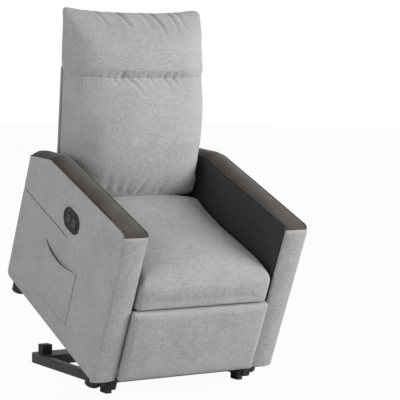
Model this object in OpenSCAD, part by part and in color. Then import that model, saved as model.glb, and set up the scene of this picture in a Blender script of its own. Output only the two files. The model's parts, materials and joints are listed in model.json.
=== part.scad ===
// Lift recliner chair, drawn with the seat raised and tipped forward.
// The chair's own frame: x across, y from the arm fronts to the rear, z up from the arms' lower edge.
// The base stands on the floor. seat_frame() places every piece that rises with the chair.

/* [Lift] */
// Angle that the chair tips forward when it is fully raised
lift_angle = 24; // [18:1:28]
// How far the chair moves back when it is lowered
lower_back_shift = 14; // [8:1:20]
// Height of the arms' lower edge above the floor when the chair is lowered
ground_gap = 50; // [46:1:60]
// Distance from the arm fronts to the front lift pivot on the chair
front_pivot_y = 197.4; // [185:0.1:210]
// Height of both lift pivots on the chair above the arms' lower edge
chair_pivot_z = 30; // [26:1:34]
// Length of the front lift links between pivots
front_link_len = 91.4; // [88:0.1:96]
// Distance from the arm fronts to the rear lift pivot on the chair
rear_pivot_y = 475.5; // [465:0.1:485]
// Length of the rear lift links between pivots
rear_link_len = 260; // [250:1:270]
// Free play that the rear link pin has in its slot
rear_slot_play = 3.6; // [3.5:0.1:6]
// Width of the lift links
link_w = 30; // [26:1:34]
// Thickness of the lift links
link_t = 6; // [4:1:8]
// Radius of the lift pivot pins
pin_r = 6; // [4:0.5:8]
// Thickness of the steel plates that hold pivots
plate_t = 5; // [3:1:6]
// Radius of the torque tube that joins the front links
torque_tube_r = 12; // [8:1:14]

/* [Base] */
// Height of the base tubes
base_tube_h = 35; // [30:1:40]
// Width of one side tube
side_tube_w = 20; // [16:1:24]
// Wall of the base tubes
tube_wall = 2.5; // [1.5:0.5:3]
// How far the front feet of the base reach out under each arm
front_foot_reach = 5; // [0:1:12]
// Width of one front foot of the base
front_foot_w = 20; // [16:1:24]
// Depth of one front foot of the base
front_foot_len = 45; // [35:1:48]
// Height of the front feet, on which the base's front arms lie
front_foot_h = 20; // [16:1:22]
// Distance from the raised chair's front edge back to the front feet
base_front_y = 52; // [46:1:56]
// Depth of the cross tube under the front lift pivots
front_tube_d = 40; // [34:1:44]
// Height of that cross tube
front_tube_h = 21; // [18:1:23]
// Depth of the flat rear member
rear_member_d = 100; // [80:1:110]
// How far the base reaches past the depth of the arms
base_rear_reach = 30; // [26:1:45]
// Corner radius of the rear member
rear_corner_r = 24; // [20:1:45]
// Width of one rear stop post
stop_post_w = 38; // [30:1:50]
// Height of the rear stop posts above the floor
stop_post_h = 70; // [60:1:77]
// Distance from the base's sides in to the rear stop posts
stop_post_inset = 18; // [12:1:40]

/* [Actuator] */
// Distance from the rear member forward to the actuator's rear pivot
motor_reach = 45; // [40:1:50]
// Height of the actuator's rear pivot above the floor
motor_pivot_z = 60; // [56:1:64]
// Distance from the arm fronts to the rod pivot on the chair
rod_pivot_y = 90; // [86:1:96]
// Height of the rod pivot above the arms' lower edge
rod_pivot_z = 100; // [96:1:106]
// Free play that the rod pin has in its slot, which keeps the rod from pulling the chair down
rod_slot_play = 10.8; // [10.6:0.1:14]
// Angle of the rod pin's slot below the rearward direction
rod_slot_angle = 31; // [28:1:34]
// Outer radius of the actuator tube
actuator_r = 19; // [17:1:21]
// Radius of the actuator rod
rod_r = 10; // [8:1:12]
// Length of the actuator tube
actuator_tube_len = 330; // [300:1:350]
// Radius of the actuator's pins
actuator_pin_r = 5; // [4:0.5:6]
// Radius of the motor can
motor_r = 27; // [22:1:30]
// Length of the motor can
motor_len = 110; // [80:1:130]

/* [Arms] */
// Width of the chair over the arms
chair_w = 700; // [680:2:740]
// Width of one arm
arm_w = 86; // [80:1:100]
// Depth of the arms
arm_d = 715; // [700:1:740]
// Height of the arm tops near the front
arm_h = 552; // [540:1:570]
// Height of the arm tops where they bend down to the rear
arm_bend_h = 532; // [520:1:540]
// Distance from the arms' rear forward to that bend
arm_bend_d = 105; // [90:1:150]
// Height of the arm tops at the rear
arm_rear_h = 476; // [460:1:490]
// Radius of the arms' top front corner
arm_front_r = 22; // [10:1:30]
// Radius of the arms' lower rear corner
arm_rear_r = 20; // [10:1:30]
// Thickness of the dark pad on the arm tops
pad_t = 14; // [10:1:18]
// Thickness of the padded fabric covers
cover_t = 6; // [4:1:8]
// Thickness of the wooden arm boards
arm_board_t = 18; // [12:1:20]
// Height of the folded seam across the outer covers
side_seam_z = 350; // [330:1:362]
// Distance from the arm fronts to the front end of that seam
side_seam_y = 340; // [320:1:380]
// Width and depth of that seam
side_seam_w = 3; // [2:0.5:4]

/* [Pocket] */
// Distance from the arm fronts to the pocket's front edge
pocket_y = 243; // [200:1:250]
// Length of the pocket
pocket_len = 245; // [200:1:260]
// Height of the pocket's lower edge
pocket_z = 72; // [60:1:80]
// Height of the pocket's corners
pocket_top_z = 275; // [260:1:290]
// How far the pocket's mouth sags in the middle
pocket_sag = 20; // [10:1:30]
// How far the pocket stands out from the arm
pocket_out = 9; // [8:1:12]
// Thickness of the pocket's fabric
pocket_t = 2.5; // [2:0.5:3]

/* [Controls] */
// Distance from the arm fronts to the middle of the control panel
panel_y = 345; // [330:1:360]
// Height of the middle of the control panel
panel_z = 420; // [410:1:430]
// Length of the control panel
panel_len = 116; // [110:1:124]
// Height of the control panel
panel_h = 76; // [70:1:84]
// How far the panel's rim stands out from the arm
panel_out = 4; // [3:0.5:6]
// Radius of one button
button_r = 16; // [12:1:18]
// Distance between the button centres
button_gap = 40; // [38:1:44]
// Travel of a button
button_travel = 2; // [1:0.5:3]

/* [Seat] */
// Space between the seat cushion and each arm
seat_side_gap = 11.5; // [10.5:0.5:16]
// Distance that the seat cushion stands out past the arm fronts
seat_nose = 16; // [10:1:20]
// How far the seat cushion's rear stays in front of the recline hinge
seat_rear_gap = 31; // [30:1:45]
// Height of the seat cushion's underside
seat_bottom_z = 270.5; // [270.4:0.1:272]
// Height of the seat cushion's edges
seat_edge_z = 378; // [370:1:384]
// How far the middle of the seat cushion stands above its edges
seat_crown = 34; // [20:1:38]
// Thickness of the wooden side rails
side_rail_t = 26; // [24:1:27]
// Thickness of the front and rear rails
cross_rail_t = 22; // [18:1:25]
// Number of webbing straps under the seat
strap_count = 5; // [3:1:7]
// Thickness of the webbing
strap_t = 3; // [2:0.5:4]

/* [Backrest] */
// Lean of the backrest behind upright
back_lean = 18.4; // [15:0.1:20]
// Space between the back and each arm
back_side_gap = 3; // [2:0.5:8]
// Distance from the arms' rear forward to the recline hinge
recline_d = 155; // [150:1:160]
// Height of the recline hinge
recline_z = 330; // [325:1:335]
// Distance up the back from the hinge to the seam under the headrest
head_seam_v = 478; // [470:1:486]
// Distance up the back from the hinge to the top corners of the headrest
head_top_v = 708; // [700:1:715]
// How far the lower back cushion stands in front of the hinge line
lumbar_front = 116; // [110:1:118]
// How far the headrest stands in front of the hinge line
head_front = 80; // [76:1:90]
// Distance from the hinge line to the back of the rear cover
back_rear_d = 84; // [80:1:94]

/* [Footrest] */
// Space between the footrest pad and each arm
footrest_side_gap = 11; // [10:0.5:16]
// Height of the footrest pad's lower edge
footrest_z = 4; // [2:1:10]
// Height of the footrest pad's upper edge
footrest_top_z = 269; // [266:0.5:269.5]
// Distance that the footrest pad stands out past the arm fronts
footrest_nose = 18; // [12:1:20]
// Thickness of the footrest board
footrest_board_t = 16; // [12:1:18]
// Distance from the arm fronts to the footrest hinge
foot_hinge_y = 21; // [19:1:24]
// Height of the footrest hinge
foot_hinge_z = 340; // [336:1:344]

/* [Feet] */
// Radius of a foot
foot_r = 27; // [24:1:30]
// Distance from the arm fronts to the front feet
front_foot_y = 65; // [55:1:80]
// Distance from the arms' rear forward to the rear feet
rear_foot_d = 35; // [31:1:55]

/* [Hidden] */
$fn = 48;
bore_clear = 0.06;
weld_clear = 0.04;
gap = 1;
soft_gap = 0.3;
overcut = 1;
chair_half = chair_w / 2;
arm_inner = chair_half - arm_w;
base_rear_y = arm_d + base_rear_reach;
recline_y = arm_d - recline_d;
arm_bend_y = arm_d - arm_bend_d;
steel = "#3c3c3e";
grey_fabric = "#a3a3a3";
dark_fabric = "#4b4845";
charcoal = "#303030";
black = "#1f1f20";
wood_colour = "#c9a877";

// Places of the lift pivots. Points are [y, z].
function turned(p, a) = [p[0] * cos(a) - p[1] * sin(a), p[0] * sin(a) + p[1] * cos(a)];
function lowered(p) = p + [lower_back_shift, ground_gap];
function raised(p) = turned(p, lift_angle) + [0, ground_gap];
// The base pivot of a link of length len that carries the chair's point p both lowered and raised
function base_pivot(p, len) =
    let (low = lowered(p), high = raised(p), step = high - low, half = norm(step) / 2,
        across = [-step[1], step[0]] / norm(step))
    (low + high) / 2 + across * sqrt(len * len - half * half);
front_chair_pivot = [front_pivot_y, chair_pivot_z];
rear_chair_pivot = [rear_pivot_y, chair_pivot_z];
rod_pivot = [rod_pivot_y, rod_pivot_z];
front_base_pivot = base_pivot(front_chair_pivot, front_link_len);
rear_base_pivot = base_pivot(rear_chair_pivot, rear_link_len);
rear_member_y = base_rear_y - rear_member_d;
motor_pivot = [rear_member_y - motor_reach, motor_pivot_z];
// The origin is half way between the raised arms' tips and the rear of the base.
arm_tip = turned([arm_front_r, arm_h - arm_front_r], lift_angle)[0] - arm_front_r;
middle_y = (base_rear_y + arm_tip) / 2;
actuator_low = lowered(rod_pivot) - motor_pivot;
actuator_high = raised(rod_pivot) - motor_pivot;
actuator_len = norm(actuator_high);
actuator_angle = atan2(actuator_high[1], actuator_high[0]);
actuator_stroke = actuator_len - norm(actuator_low);

// The layers of the lift mechanism, from the chair's plates in to the side tube's outer face
pin_room = 4;
chair_plate_x = arm_inner - side_rail_t - plate_t;
front_link_x = chair_plate_x - pin_room - gap - link_t;
base_plate_x = front_link_x - gap - plate_t;
base_half = base_plate_x;
cap_t = 2.5;
front_foot_x = arm_inner + front_foot_reach - front_foot_w;
front_arm_h = 25;
front_arm_top = front_foot_h + front_arm_h;
front_tube_y = front_base_pivot[0] - front_tube_d / 2;
rear_link_x = base_plate_x - gap - link_t;
link_r = link_w / 2;

echo(middle_y = middle_y, front_base_pivot = front_base_pivot, rear_base_pivot = rear_base_pivot,
    actuator_angle = actuator_angle, actuator_len = actuator_len, actuator_stroke = actuator_stroke);

// ---- Placing

module world() {
    translate([0, -middle_y, 0]) children();
}

module seat_frame() {
    world() translate([0, 0, ground_gap]) rotate([lift_angle, 0, 0]) children();
}

// The backrest's own frame: z up the lean of the back from the hinge, y to the rear
module back_frame() {
    seat_frame() translate([0, recline_y, recline_z]) rotate([-back_lean, 0, 0]) children();
}

module both_sides() {
    children();
    mirror([1, 0, 0]) children();
}

// A flat shape drawn as [y, z] and given a thickness along x, from x0 outwards
module plate(x0, thick) {
    translate([x0, 0, 0]) rotate([90, 0, 90]) linear_extrude(thick) children();
}

// A round bar along x from x0
module bar(x0, len, r, p) {
    translate([x0, p[0], p[1]]) rotate([0, 90, 0]) cylinder(r = r, h = len);
}

module rect_tube(size, wall, axis) {
    hollow = [for (i = [0:2]) i == axis ? size[i] + 2 * overcut : size[i] - 2 * wall];
    shift = [for (i = [0:2]) i == axis ? -overcut : wall];
    difference() {
        cube(size);
        translate(shift) cube(hollow);
    }
}

// ---- Soft forms

// A point on a square with round corners that reaches 1 each way. A smaller edge makes it squarer.
function round_square(a, edge) =
    [cos(a), sin(a)] / pow(pow(abs(cos(a)), 2 / edge) + pow(abs(sin(a)), 2 / edge), edge / 2);

// A cushion is a closed skin of rings from its bottom to its top. half is its half size, and edge is
// how square its plan is in front and behind, and its section below and above.
function ring_point(half, edge, lat, lon) =
    let (plan = round_square(lon, edge[lon > 180 ? 0 : 1]),
        section = round_square(lat, edge[lat < 0 ? 2 : 3]))
    [half[0] * section[0] * plan[0], half[1] * section[0] * plan[1], half[2] * section[1]];

module skin(rings) {
    n = len(rings[0]);
    last = len(rings) - 1;
    low = [for (i = [0:2]) let (r = rings[0]) (r[0][i] + r[floor(n / 2)][i]) / 2];
    high = [for (i = [0:2]) let (r = rings[last]) (r[0][i] + r[floor(n / 2)][i]) / 2];
    points = concat([for (r = rings) for (p = r) p], [low, high]);
    bottom = len(points) - 2;
    faces = concat(
        [for (j = [0:last - 1]) for (i = [0:n - 1]) let (k = (i + 1) % n)
            each [[j * n + i, (j + 1) * n + i, (j + 1) * n + k], [j * n + i, (j + 1) * n + k, j * n + k]]],
        [for (i = [0:n - 1]) [i, (i + 1) % n, bottom]],
        [for (i = [0:n - 1]) [last * n + (i + 1) % n, last * n + i, bottom + 1]]);
    polyhedron(points = points, faces = faces, convexity = 4);
}

// ---- Base, on the floor

// A pressed tray with a plate that closes it from below
module base_rear_member() {
    color(steel) world() {
        difference() {
            rear_outline(base_tube_h, 0);
            translate([0, 0, -overcut]) rear_outline(base_tube_h - tube_wall + overcut, tube_wall);
        }
        rear_outline(tube_wall, tube_wall + weld_clear);
    }
}

module rear_outline(h, inset) {
    w = base_half - inset;
    r = rear_corner_r - inset;
    front = rear_member_y + inset;
    rear = base_rear_y - inset;
    linear_extrude(h) {
        translate([-w, front]) square([2 * w, rear - r - front]);
        translate([-w + r, front]) square([2 * w - 2 * r, rear - front]);
        for (s = [-1, 1]) translate([s * (w - r), rear - r]) circle(r);
    }
}

end_cut = 100;
end_cut_h = 22;
// Two long tubes between the cross tubes, cut slanting below their front ends, and two short ones that
// run forward to the front feet
module base_side_tubes() {
    y0 = front_tube_y + front_tube_d;
    color(steel) world() both_sides() {
        difference() {
            translate([base_half - side_tube_w, y0, 0])
                rect_tube([side_tube_w, rear_member_y - y0, base_tube_h], tube_wall, 1);
            plate(base_half - side_tube_w - overcut, side_tube_w + 2 * overcut)
                polygon([[y0 - overcut, -overcut], [y0 + end_cut, -overcut], [y0, end_cut_h],
                    [y0 - overcut, end_cut_h]]);
        }
        translate([front_foot_x, base_front_y + cap_t, front_foot_h])
            rect_tube([front_foot_w, y0 - base_front_y - cap_t, front_arm_h], tube_wall, 1);
    }
}

module base_front_tube() {
    color(steel) world() translate([-front_foot_x, front_tube_y, front_arm_top - front_tube_h])
        rect_tube([2 * front_foot_x, front_tube_d, front_tube_h], tube_wall, 0);
}

// A block under the front end of each short tube, with a cap over its end
module base_front_feet() {
    color(black) world() both_sides() translate([front_foot_x, base_front_y, 0]) {
        cube([front_foot_w, front_foot_len, front_foot_h]);
        cube([front_foot_w, cap_t, front_arm_top]);
    }
}

module rear_stop_posts() {
    color(black) world() both_sides()
        translate([base_half - stop_post_inset - stop_post_w, rear_member_y + stop_post_inset * 1.5,
            base_tube_h])
            cube([stop_post_w, stop_post_w, stop_post_h - base_tube_h]);
}

// A plate from the height z0 that narrows above z1 and holds one pivot
module pivot_plate(p, foot, z0, z1) {
    difference() {
        union() {
            translate(p) circle(link_r);
            polygon([[p[0] - foot, z0], [p[0] + foot, z0], [p[0] + foot, z1],
                [p[0] + link_r, p[1]], [p[0] - link_r, p[1]], [p[0] - foot, z1]]);
        }
        translate(p) circle(pin_r + weld_clear);
    }
}

module front_pivot_brackets() {
    foot = link_r + 4;
    color(steel) world() both_sides() plate(base_plate_x, plate_t)
        pivot_plate(front_base_pivot, foot, front_arm_top, front_arm_top + tube_wall);
}

module rear_pivot_brackets() {
    foot = link_r + 8;
    color(steel) world() both_sides() plate(base_plate_x, plate_t)
        pivot_plate(rear_base_pivot, foot, tube_wall, base_tube_h);
}

motor_ear_x = 17;
actuator_eye_r = 14;
module motor_bracket() {
    color(steel) world() both_sides() plate(motor_ear_x, plate_t) difference() {
        union() {
            translate(motor_pivot) circle(actuator_eye_r);
            polygon([[rear_member_y, tube_wall], [rear_member_y, base_tube_h],
                motor_pivot + [actuator_eye_r * 0.7, actuator_eye_r * 0.7],
                motor_pivot - [actuator_eye_r * 0.7, actuator_eye_r * 0.7]]);
        }
        translate(motor_pivot) circle(actuator_pin_r + weld_clear);
    }
}

head_t = 2;
module base_pivot_pins() {
    front_end = front_link_x + link_t + gap / 2;
    rear_end = rear_link_x - gap / 2;
    color("#8b8b8e") world() both_sides() {
        bar(base_plate_x, front_end - base_plate_x, pin_r, front_base_pivot);
        bar(front_end, head_t, pin_r * 1.4, front_base_pivot);
        bar(rear_end, base_plate_x + plate_t - rear_end, pin_r, rear_base_pivot);
        bar(rear_end - head_t, head_t, pin_r * 1.4, rear_base_pivot);
    }
}

module motor_pin() {
    reach = motor_ear_x + plate_t;
    color("#8b8b8e") world() {
        bar(-reach, 2 * reach, actuator_pin_r, motor_pivot);
        both_sides() bar(reach, head_t, actuator_pin_r * 1.5, motor_pivot);
    }
}

// ---- Lift links, drawn where the raised chair holds them

// A flat bar with round ends between the points a and b
module link_shape(a, b, w) {
    len = norm(b - a);
    translate(a) rotate(atan2(b[1] - a[1], b[0] - a[0])) {
        translate([0, -w / 2]) square([len, w]);
        circle(w / 2);
        translate([len, 0]) circle(w / 2);
    }
}

module front_lift_links() {
    color(steel) world() both_sides() plate(front_link_x, link_t) difference() {
        link_shape(front_base_pivot, raised(front_chair_pivot), link_w);
        translate(front_base_pivot) circle(pin_r + bore_clear);
        translate(raised(front_chair_pivot)) circle(pin_r + bore_clear);
    }
}

module lift_torque_tube() {
    middle = (front_base_pivot + raised(front_chair_pivot)) / 2;
    color(steel) world() difference() {
        bar(-front_link_x, 2 * front_link_x, torque_tube_r, middle);
        bar(-front_link_x - overcut, 2 * (front_link_x + overcut), torque_tube_r - tube_wall, middle);
    }
}

module rear_lift_links() {
    color(steel) world() both_sides() plate(rear_link_x, link_t) difference() {
        link_shape(rear_base_pivot, raised(rear_chair_pivot), link_w);
        translate(rear_base_pivot) circle(pin_r + bore_clear);
        translate(raised(rear_chair_pivot)) circle(pin_r + weld_clear);
    }
}

module rear_link_pins() {
    color("#8b8b8e") world() both_sides()
        bar(rear_link_x, chair_plate_x + plate_t - rear_link_x, pin_r, raised(rear_chair_pivot));
}

// ---- Actuator, along its own line from the rear pivot to the rod pivot

module actuator_frame() {
    world() translate([0, motor_pivot[0], motor_pivot[1]]) rotate([actuator_angle, 0, 0]) children();
}

gearbox_len = 74;
gearbox_half = 15;
gearbox_neck = 24;
gearbox_wall = 4;
tube_seat = 6;
tube_start = gearbox_len - tube_seat;
gearbox_r = actuator_r + gearbox_wall;
module actuator_gearbox() {
    color(black) actuator_frame() difference() {
        union() {
            bar(-gearbox_half, 2 * gearbox_half, actuator_eye_r, [0, 0]);
            translate([-gearbox_half, 0, -actuator_eye_r])
                cube([2 * gearbox_half, gearbox_neck + overcut, 2 * actuator_eye_r]);
            translate([-gearbox_r, gearbox_neck, -gearbox_r])
                cube([2 * gearbox_r, gearbox_len - gearbox_neck, 2 * gearbox_r]);
        }
        bar(-gearbox_half - overcut, 2 * (gearbox_half + overcut), actuator_pin_r + bore_clear, [0, 0]);
        translate([0, tube_start, 0]) rotate([-90, 0, 0])
            cylinder(r = actuator_r + weld_clear, h = gearbox_len);
    }
}

module actuator_motor() {
    color(black) actuator_frame() bar(gearbox_r, motor_len, motor_r, [gearbox_neck + motor_r, 0]);
}

module actuator_tube() {
    color("#b9babd") actuator_frame() translate([0, tube_start, 0]) rotate([-90, 0, 0])
        difference() {
            cylinder(r = actuator_r, h = actuator_tube_len);
            translate([0, 0, gearbox_wall]) cylinder(r = rod_r + bore_clear, h = actuator_tube_len);
        }
}

rod_eye_half = rod_r + 2;
rod_inside = 12;
module actuator_rod() {
    hidden_end = actuator_stroke + tube_start + rod_inside;
    color("#c9cacd") actuator_frame() difference() {
        union() {
            translate([0, hidden_end, 0]) rotate([-90, 0, 0])
                cylinder(r = rod_r, h = actuator_len - hidden_end - actuator_pin_r - overcut);
            bar(-rod_eye_half, 2 * rod_eye_half, actuator_eye_r, [actuator_len, 0]);
        }
        bar(-rod_eye_half - overcut, 2 * (rod_eye_half + overcut), actuator_pin_r + weld_clear,
            [actuator_len, 0]);
    }
}

rod_ear_x = rod_eye_half + gap;
module rod_end_pin() {
    reach = rod_ear_x + plate_t + gap;
    color("#8b8b8e") actuator_frame() {
        bar(-reach, 2 * reach, actuator_pin_r, [actuator_len, 0]);
        both_sides() bar(reach, head_t, actuator_pin_r * 1.5, [actuator_len, 0]);
    }
}

// ---- Seat box and its steel

module slot(p, play, angle, r) {
    link_shape(p, p + play * [cos(angle), sin(angle)], 2 * r);
}

plate_y0 = 60;
plate_rear_d = 25;
plate_y1 = arm_d - plate_rear_d;
plate_z0 = 10;
plate_z1 = 60;
rear_slot_angle = -13;
slot_clear = 0.4;
module mechanism_plates() {
    color(steel) seat_frame() both_sides() plate(chair_plate_x, plate_t) difference() {
        translate([plate_y0, plate_z0]) square([plate_y1 - plate_y0, plate_z1 - plate_z0]);
        translate(front_chair_pivot) circle(pin_r + weld_clear);
        slot(rear_chair_pivot, rear_slot_play, rear_slot_angle, pin_r + slot_clear);
    }
}

module chair_pivot_pins() {
    start = front_link_x - gap / 2;
    color("#8b8b8e") seat_frame() both_sides()
        bar(start, chair_plate_x + plate_t - start, pin_r, front_chair_pivot);
}

cross_tube = 30;
rear_cross_y = arm_d - 2 * cross_tube;
stop_gap = 2;
rear_cross_z = stop_post_h - ground_gap + stop_gap;
bracket_drop = 34;
bracket_front = 28;
bracket_len = 46;
module seat_cross_tubes() {
    color(steel) seat_frame() {
        translate([-arm_inner + side_rail_t, rod_pivot_y - cross_tube / 2,
            rod_pivot_z + actuator_eye_r + gap])
            rect_tube([2 * (arm_inner - side_rail_t), cross_tube, cross_tube], tube_wall, 0);
        translate([-chair_plate_x, rear_cross_y, rear_cross_z])
            rect_tube([2 * chair_plate_x, cross_tube, cross_tube], tube_wall, 0);
    }
}

module actuator_bracket() {
    top = rod_pivot_z + actuator_eye_r + gap;
    color(steel) seat_frame() both_sides() plate(rod_ear_x, plate_t) difference() {
        translate([rod_pivot_y - bracket_front, top - bracket_drop]) square([bracket_len, bracket_drop]);
        slot(rod_pivot, rod_slot_play, rod_slot_angle + 180, actuator_pin_r + slot_clear);
    }
}

seat_box_z = seat_bottom_z - strap_t - soft_gap;
rail_z0 = 20;
rail_y0 = 40;
rail_reach = 40;
rail_y1 = recline_y + rail_reach;
module seat_side_rails() {
    color(wood_colour) seat_frame() both_sides()
        translate([arm_inner - side_rail_t, rail_y0, rail_z0])
            cube([side_rail_t, rail_y1 - rail_y0, seat_box_z - rail_z0]);
}

rail_h = 62;
rear_rail_d = 30;
rear_rail_y = recline_y - rear_rail_d;
module seat_cross_rails() {
    front_half = arm_inner - side_rail_t;
    color(wood_colour) seat_frame() {
        translate([-front_half, rail_y0, seat_box_z - rail_h])
            cube([2 * front_half, cross_rail_t, rail_h]);
        translate([-chair_plate_x, rear_rail_y, seat_box_z - rail_h])
            cube([2 * chair_plate_x, cross_rail_t, rail_h]);
    }
}

strap_w = 50;
module seat_webbing() {
    inner = arm_inner - side_rail_t;
    pitch = 2 * inner / strap_count;
    y1 = rear_rail_y + cross_rail_t;
    color(charcoal) seat_frame() for (i = [0:strap_count - 1])
        translate([-inner + (i + 0.5) * pitch - strap_w / 2, rail_y0, seat_box_z])
            cube([strap_w, y1 - rail_y0, strap_t]);
}

seat_rise = 8;
// The seat is square in plan, rises to its crown and rounds down to a full front edge.
module seat_cushion() {
    depth = recline_y - seat_rear_gap + seat_nose;
    half = [arm_inner - seat_side_gap, depth / 2, (seat_edge_z - seat_bottom_z) / 2];
    centre = [0, depth / 2 - seat_nose, (seat_edge_z + seat_bottom_z) / 2];
    rings = [for (lat = [-82:10.25:82]) [for (lon = [0:7.5:352.5])
        let (p = ring_point(half, [0.14, 0.14, 0.12, 0.34], lat, lon),
            u = p[0] / half[0], v = p[1] / half[1], t = (p[2] / half[2] + 1) / 2,
            fall = v < 0 ? 1 - pow(v, 4) : 1)
        [p[0] * (1 - 0.012 * (1 - v * v)), p[1] * (1 - 0.006 * (1 - u * u)),
            p[2] + t * seat_crown * (1 - pow(u, 4)) * fall + t * seat_rise * v]]];
    color(grey_fabric) seat_frame() translate(centre) skin(rings);
}

// ---- Arms

// The side outline of an arm
module arm_outline() {
    r = arm_front_r;
    q = arm_rear_r;
    polygon([[0, 0], [arm_d - q, 0], [arm_d, q], [arm_d, arm_rear_h], [arm_bend_y, arm_bend_h], [r, arm_h],
        [0, arm_h - r]]);
    translate([r, arm_h - r]) circle(r);
    translate([arm_d - q, q]) circle(q);
}

// The part of the outline under the pad
module below_pad() {
    intersection() {
        arm_outline();
        polygon([[-overcut, -overcut], [arm_d + overcut, -overcut],
            [arm_d + overcut, arm_rear_h - pad_t], [arm_d, arm_rear_h - pad_t],
            [arm_bend_y, arm_bend_h - pad_t], [0, arm_h - pad_t], [-overcut, arm_h - pad_t]]);
    }
}

module arm_band(y0, y1) {
    intersection() {
        below_pad();
        translate([y0, -overcut]) square([y1 - y0, arm_h + 2 * overcut]);
    }
}

arm_front_cover_t = 8;
frame_x0 = arm_inner + cover_t;
frame_x1 = chair_half - cover_t;
// A box of boards, open to the outside under its cover
module arm_frame() {
    b = arm_board_t;
    color(wood_colour) seat_frame() difference() {
        plate(frame_x0, frame_x1 - frame_x0) arm_band(arm_front_cover_t, arm_d - cover_t);
        plate(frame_x0 + b, frame_x1 - frame_x0 - b + overcut)
            polygon([[arm_front_cover_t + b, b], [arm_d - b - arm_rear_r / 2, b],
                [arm_d - b - arm_rear_r / 2, arm_rear_h - pad_t - b],
                [arm_bend_y, arm_bend_h - pad_t - b], [arm_front_cover_t + b, arm_h - pad_t - 2 * b]]);
    }
}

// The fabric of the outer side, which wraps round the rear of the arm
module outer_cover() {
    plate(frame_x1, cover_t) arm_band(arm_front_cover_t, arm_d);
    plate(frame_x0, frame_x1 - frame_x0) arm_band(arm_d - cover_t, arm_d);
}

module seam_cut() {
    translate([chair_half - side_seam_w, side_seam_y, side_seam_z])
        cube([side_seam_w + overcut, arm_d, side_seam_w]);
}

module arm_left_frame() { mirror([1, 0, 0]) arm_frame(); }
module arm_right_frame() { arm_frame(); }

module arm_left_outer_cover() {
    color(grey_fabric) seat_frame() difference() {
        mirror([1, 0, 0]) difference() {
            outer_cover();
            seam_cut();
        }
        panel_body(-chair_half - overcut, cover_t + 2 * overcut, panel_rim + weld_clear);
    }
}

module arm_right_outer_cover() {
    color(grey_fabric) seat_frame() difference() {
        outer_cover();
        seam_cut();
    }
}

module inner_cover() {
    color(charcoal) seat_frame() plate(arm_inner, cover_t) arm_band(arm_front_cover_t, arm_d);
}
module arm_left_inner_cover() { mirror([1, 0, 0]) inner_cover(); }
module arm_right_inner_cover() { inner_cover(); }

// The padded front of an arm, a little crowned across its width
module front_cover() {
    color(grey_fabric) seat_frame() plate(arm_inner, arm_w) arm_band(0, arm_front_cover_t);
}
module arm_left_front_cover() { mirror([1, 0, 0]) front_cover(); }
module arm_right_front_cover() { front_cover(); }

module arm_pad() {
    high = arm_h + pad_t;
    color(dark_fabric) seat_frame() plate(arm_inner, arm_w) intersection() {
        arm_outline();
        polygon([[-overcut, arm_h - pad_t], [0, arm_h - pad_t], [arm_bend_y, arm_bend_h - pad_t],
            [arm_d, arm_rear_h - pad_t], [arm_d + overcut, arm_rear_h - pad_t],
            [arm_d + overcut, high], [-overcut, high]]);
    }
}
module arm_left_pad() { mirror([1, 0, 0]) arm_pad(); }
module arm_right_pad() { arm_pad(); }

// ---- Side pocket, on the left arm

module pocket_outline() {
    steps = 12;
    polygon(concat([[pocket_y + pocket_len, pocket_z], [pocket_y, pocket_z]],
        [for (i = [0:steps]) let (u = i / steps)
            [pocket_y + u * pocket_len, pocket_top_z - 4 * pocket_sag * u * (1 - u)]]));
}

module side_pocket() {
    x0 = -chair_half - pocket_out;
    color(grey_fabric) seat_frame() difference() {
        plate(x0, pocket_out) pocket_outline();
        translate([x0 + pocket_t, pocket_y + pocket_t, pocket_z + pocket_t])
            cube([pocket_out - pocket_t + overcut, pocket_len - 2 * pocket_t, pocket_top_z]);
    }
}

// ---- Controls, on the left arm

panel_rim = 3;
module panel_shape(inset) {
    r = panel_h / 2 - inset;
    reach = (panel_len - panel_h) / 2;
    translate([panel_y, panel_z]) {
        for (s = [-1, 1]) translate([s * reach, 0]) circle(r);
        translate([-reach, -r]) square([2 * reach, 2 * r]);
    }
}

module panel_body(x0, thick, inset) {
    plate(x0, thick) panel_shape(inset);
}

button_y = [panel_y - button_gap / 2, panel_y + button_gap / 2];
button_h = 12;
button_dish = 0.8;
button_edge = 5;
panel_recess = 1.5;
module button_holes(x0, len, clear) {
    for (y = button_y) bar(x0, len, button_r + clear, [y, panel_z]);
}

module control_bezel() {
    x0 = -chair_half - panel_out;
    color(black) seat_frame() difference() {
        union() {
            panel_body(x0, panel_out, 0);
            panel_body(-chair_half, cover_t, panel_rim + 2 * weld_clear);
        }
        panel_body(x0 - overcut, overcut + panel_recess, 2 * panel_rim);
        button_holes(x0 - overcut, panel_out + cover_t + 2 * overcut, bore_clear);
    }
}

housing_d = 34;
module control_housing() {
    x0 = -chair_half + cover_t;
    seat = button_h - panel_out - cover_t + button_travel + panel_recess;
    color(black) seat_frame() difference() {
        panel_body(x0, housing_d, 2 * panel_rim);
        button_holes(x0 - overcut, seat + overcut, bore_clear);
    }
}

// A round button with a dished face
module button(i) {
    x0 = -chair_half - panel_out - 1;
    color("#2c2c2e") seat_frame() difference() {
        bar(x0, button_h, button_r, [button_y[i], panel_z]);
        bar(x0 - overcut, overcut + button_dish, button_r - button_edge, [button_y[i], panel_z]);
    }
}
module button_up() { button(1); }
module button_down() { button(0); }

// ---- Feet, rear cover and supply

foot_edge = 3;
foot_neck = 8;
module chair_feet() {
    color(black) seat_frame() both_sides() for (y = [front_foot_y, arm_d - rear_foot_d])
        translate([arm_inner + arm_w / 2, y, -ground_gap]) rotate_extrude()
            polygon([[0, 0], [foot_r - foot_edge, 0], [foot_r, foot_edge], [foot_r, ground_gap - foot_neck],
                [foot_r * 0.8, ground_gap], [0, ground_gap]]);
}

skid_w = 28;
skid_d = 12;
skid_h = 40;
module front_skids() {
    color(black) seat_frame() both_sides()
        translate([arm_inner - skid_w / 2, arm_front_cover_t, -skid_h]) cube([skid_w, skid_d, skid_h]);
}

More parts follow.
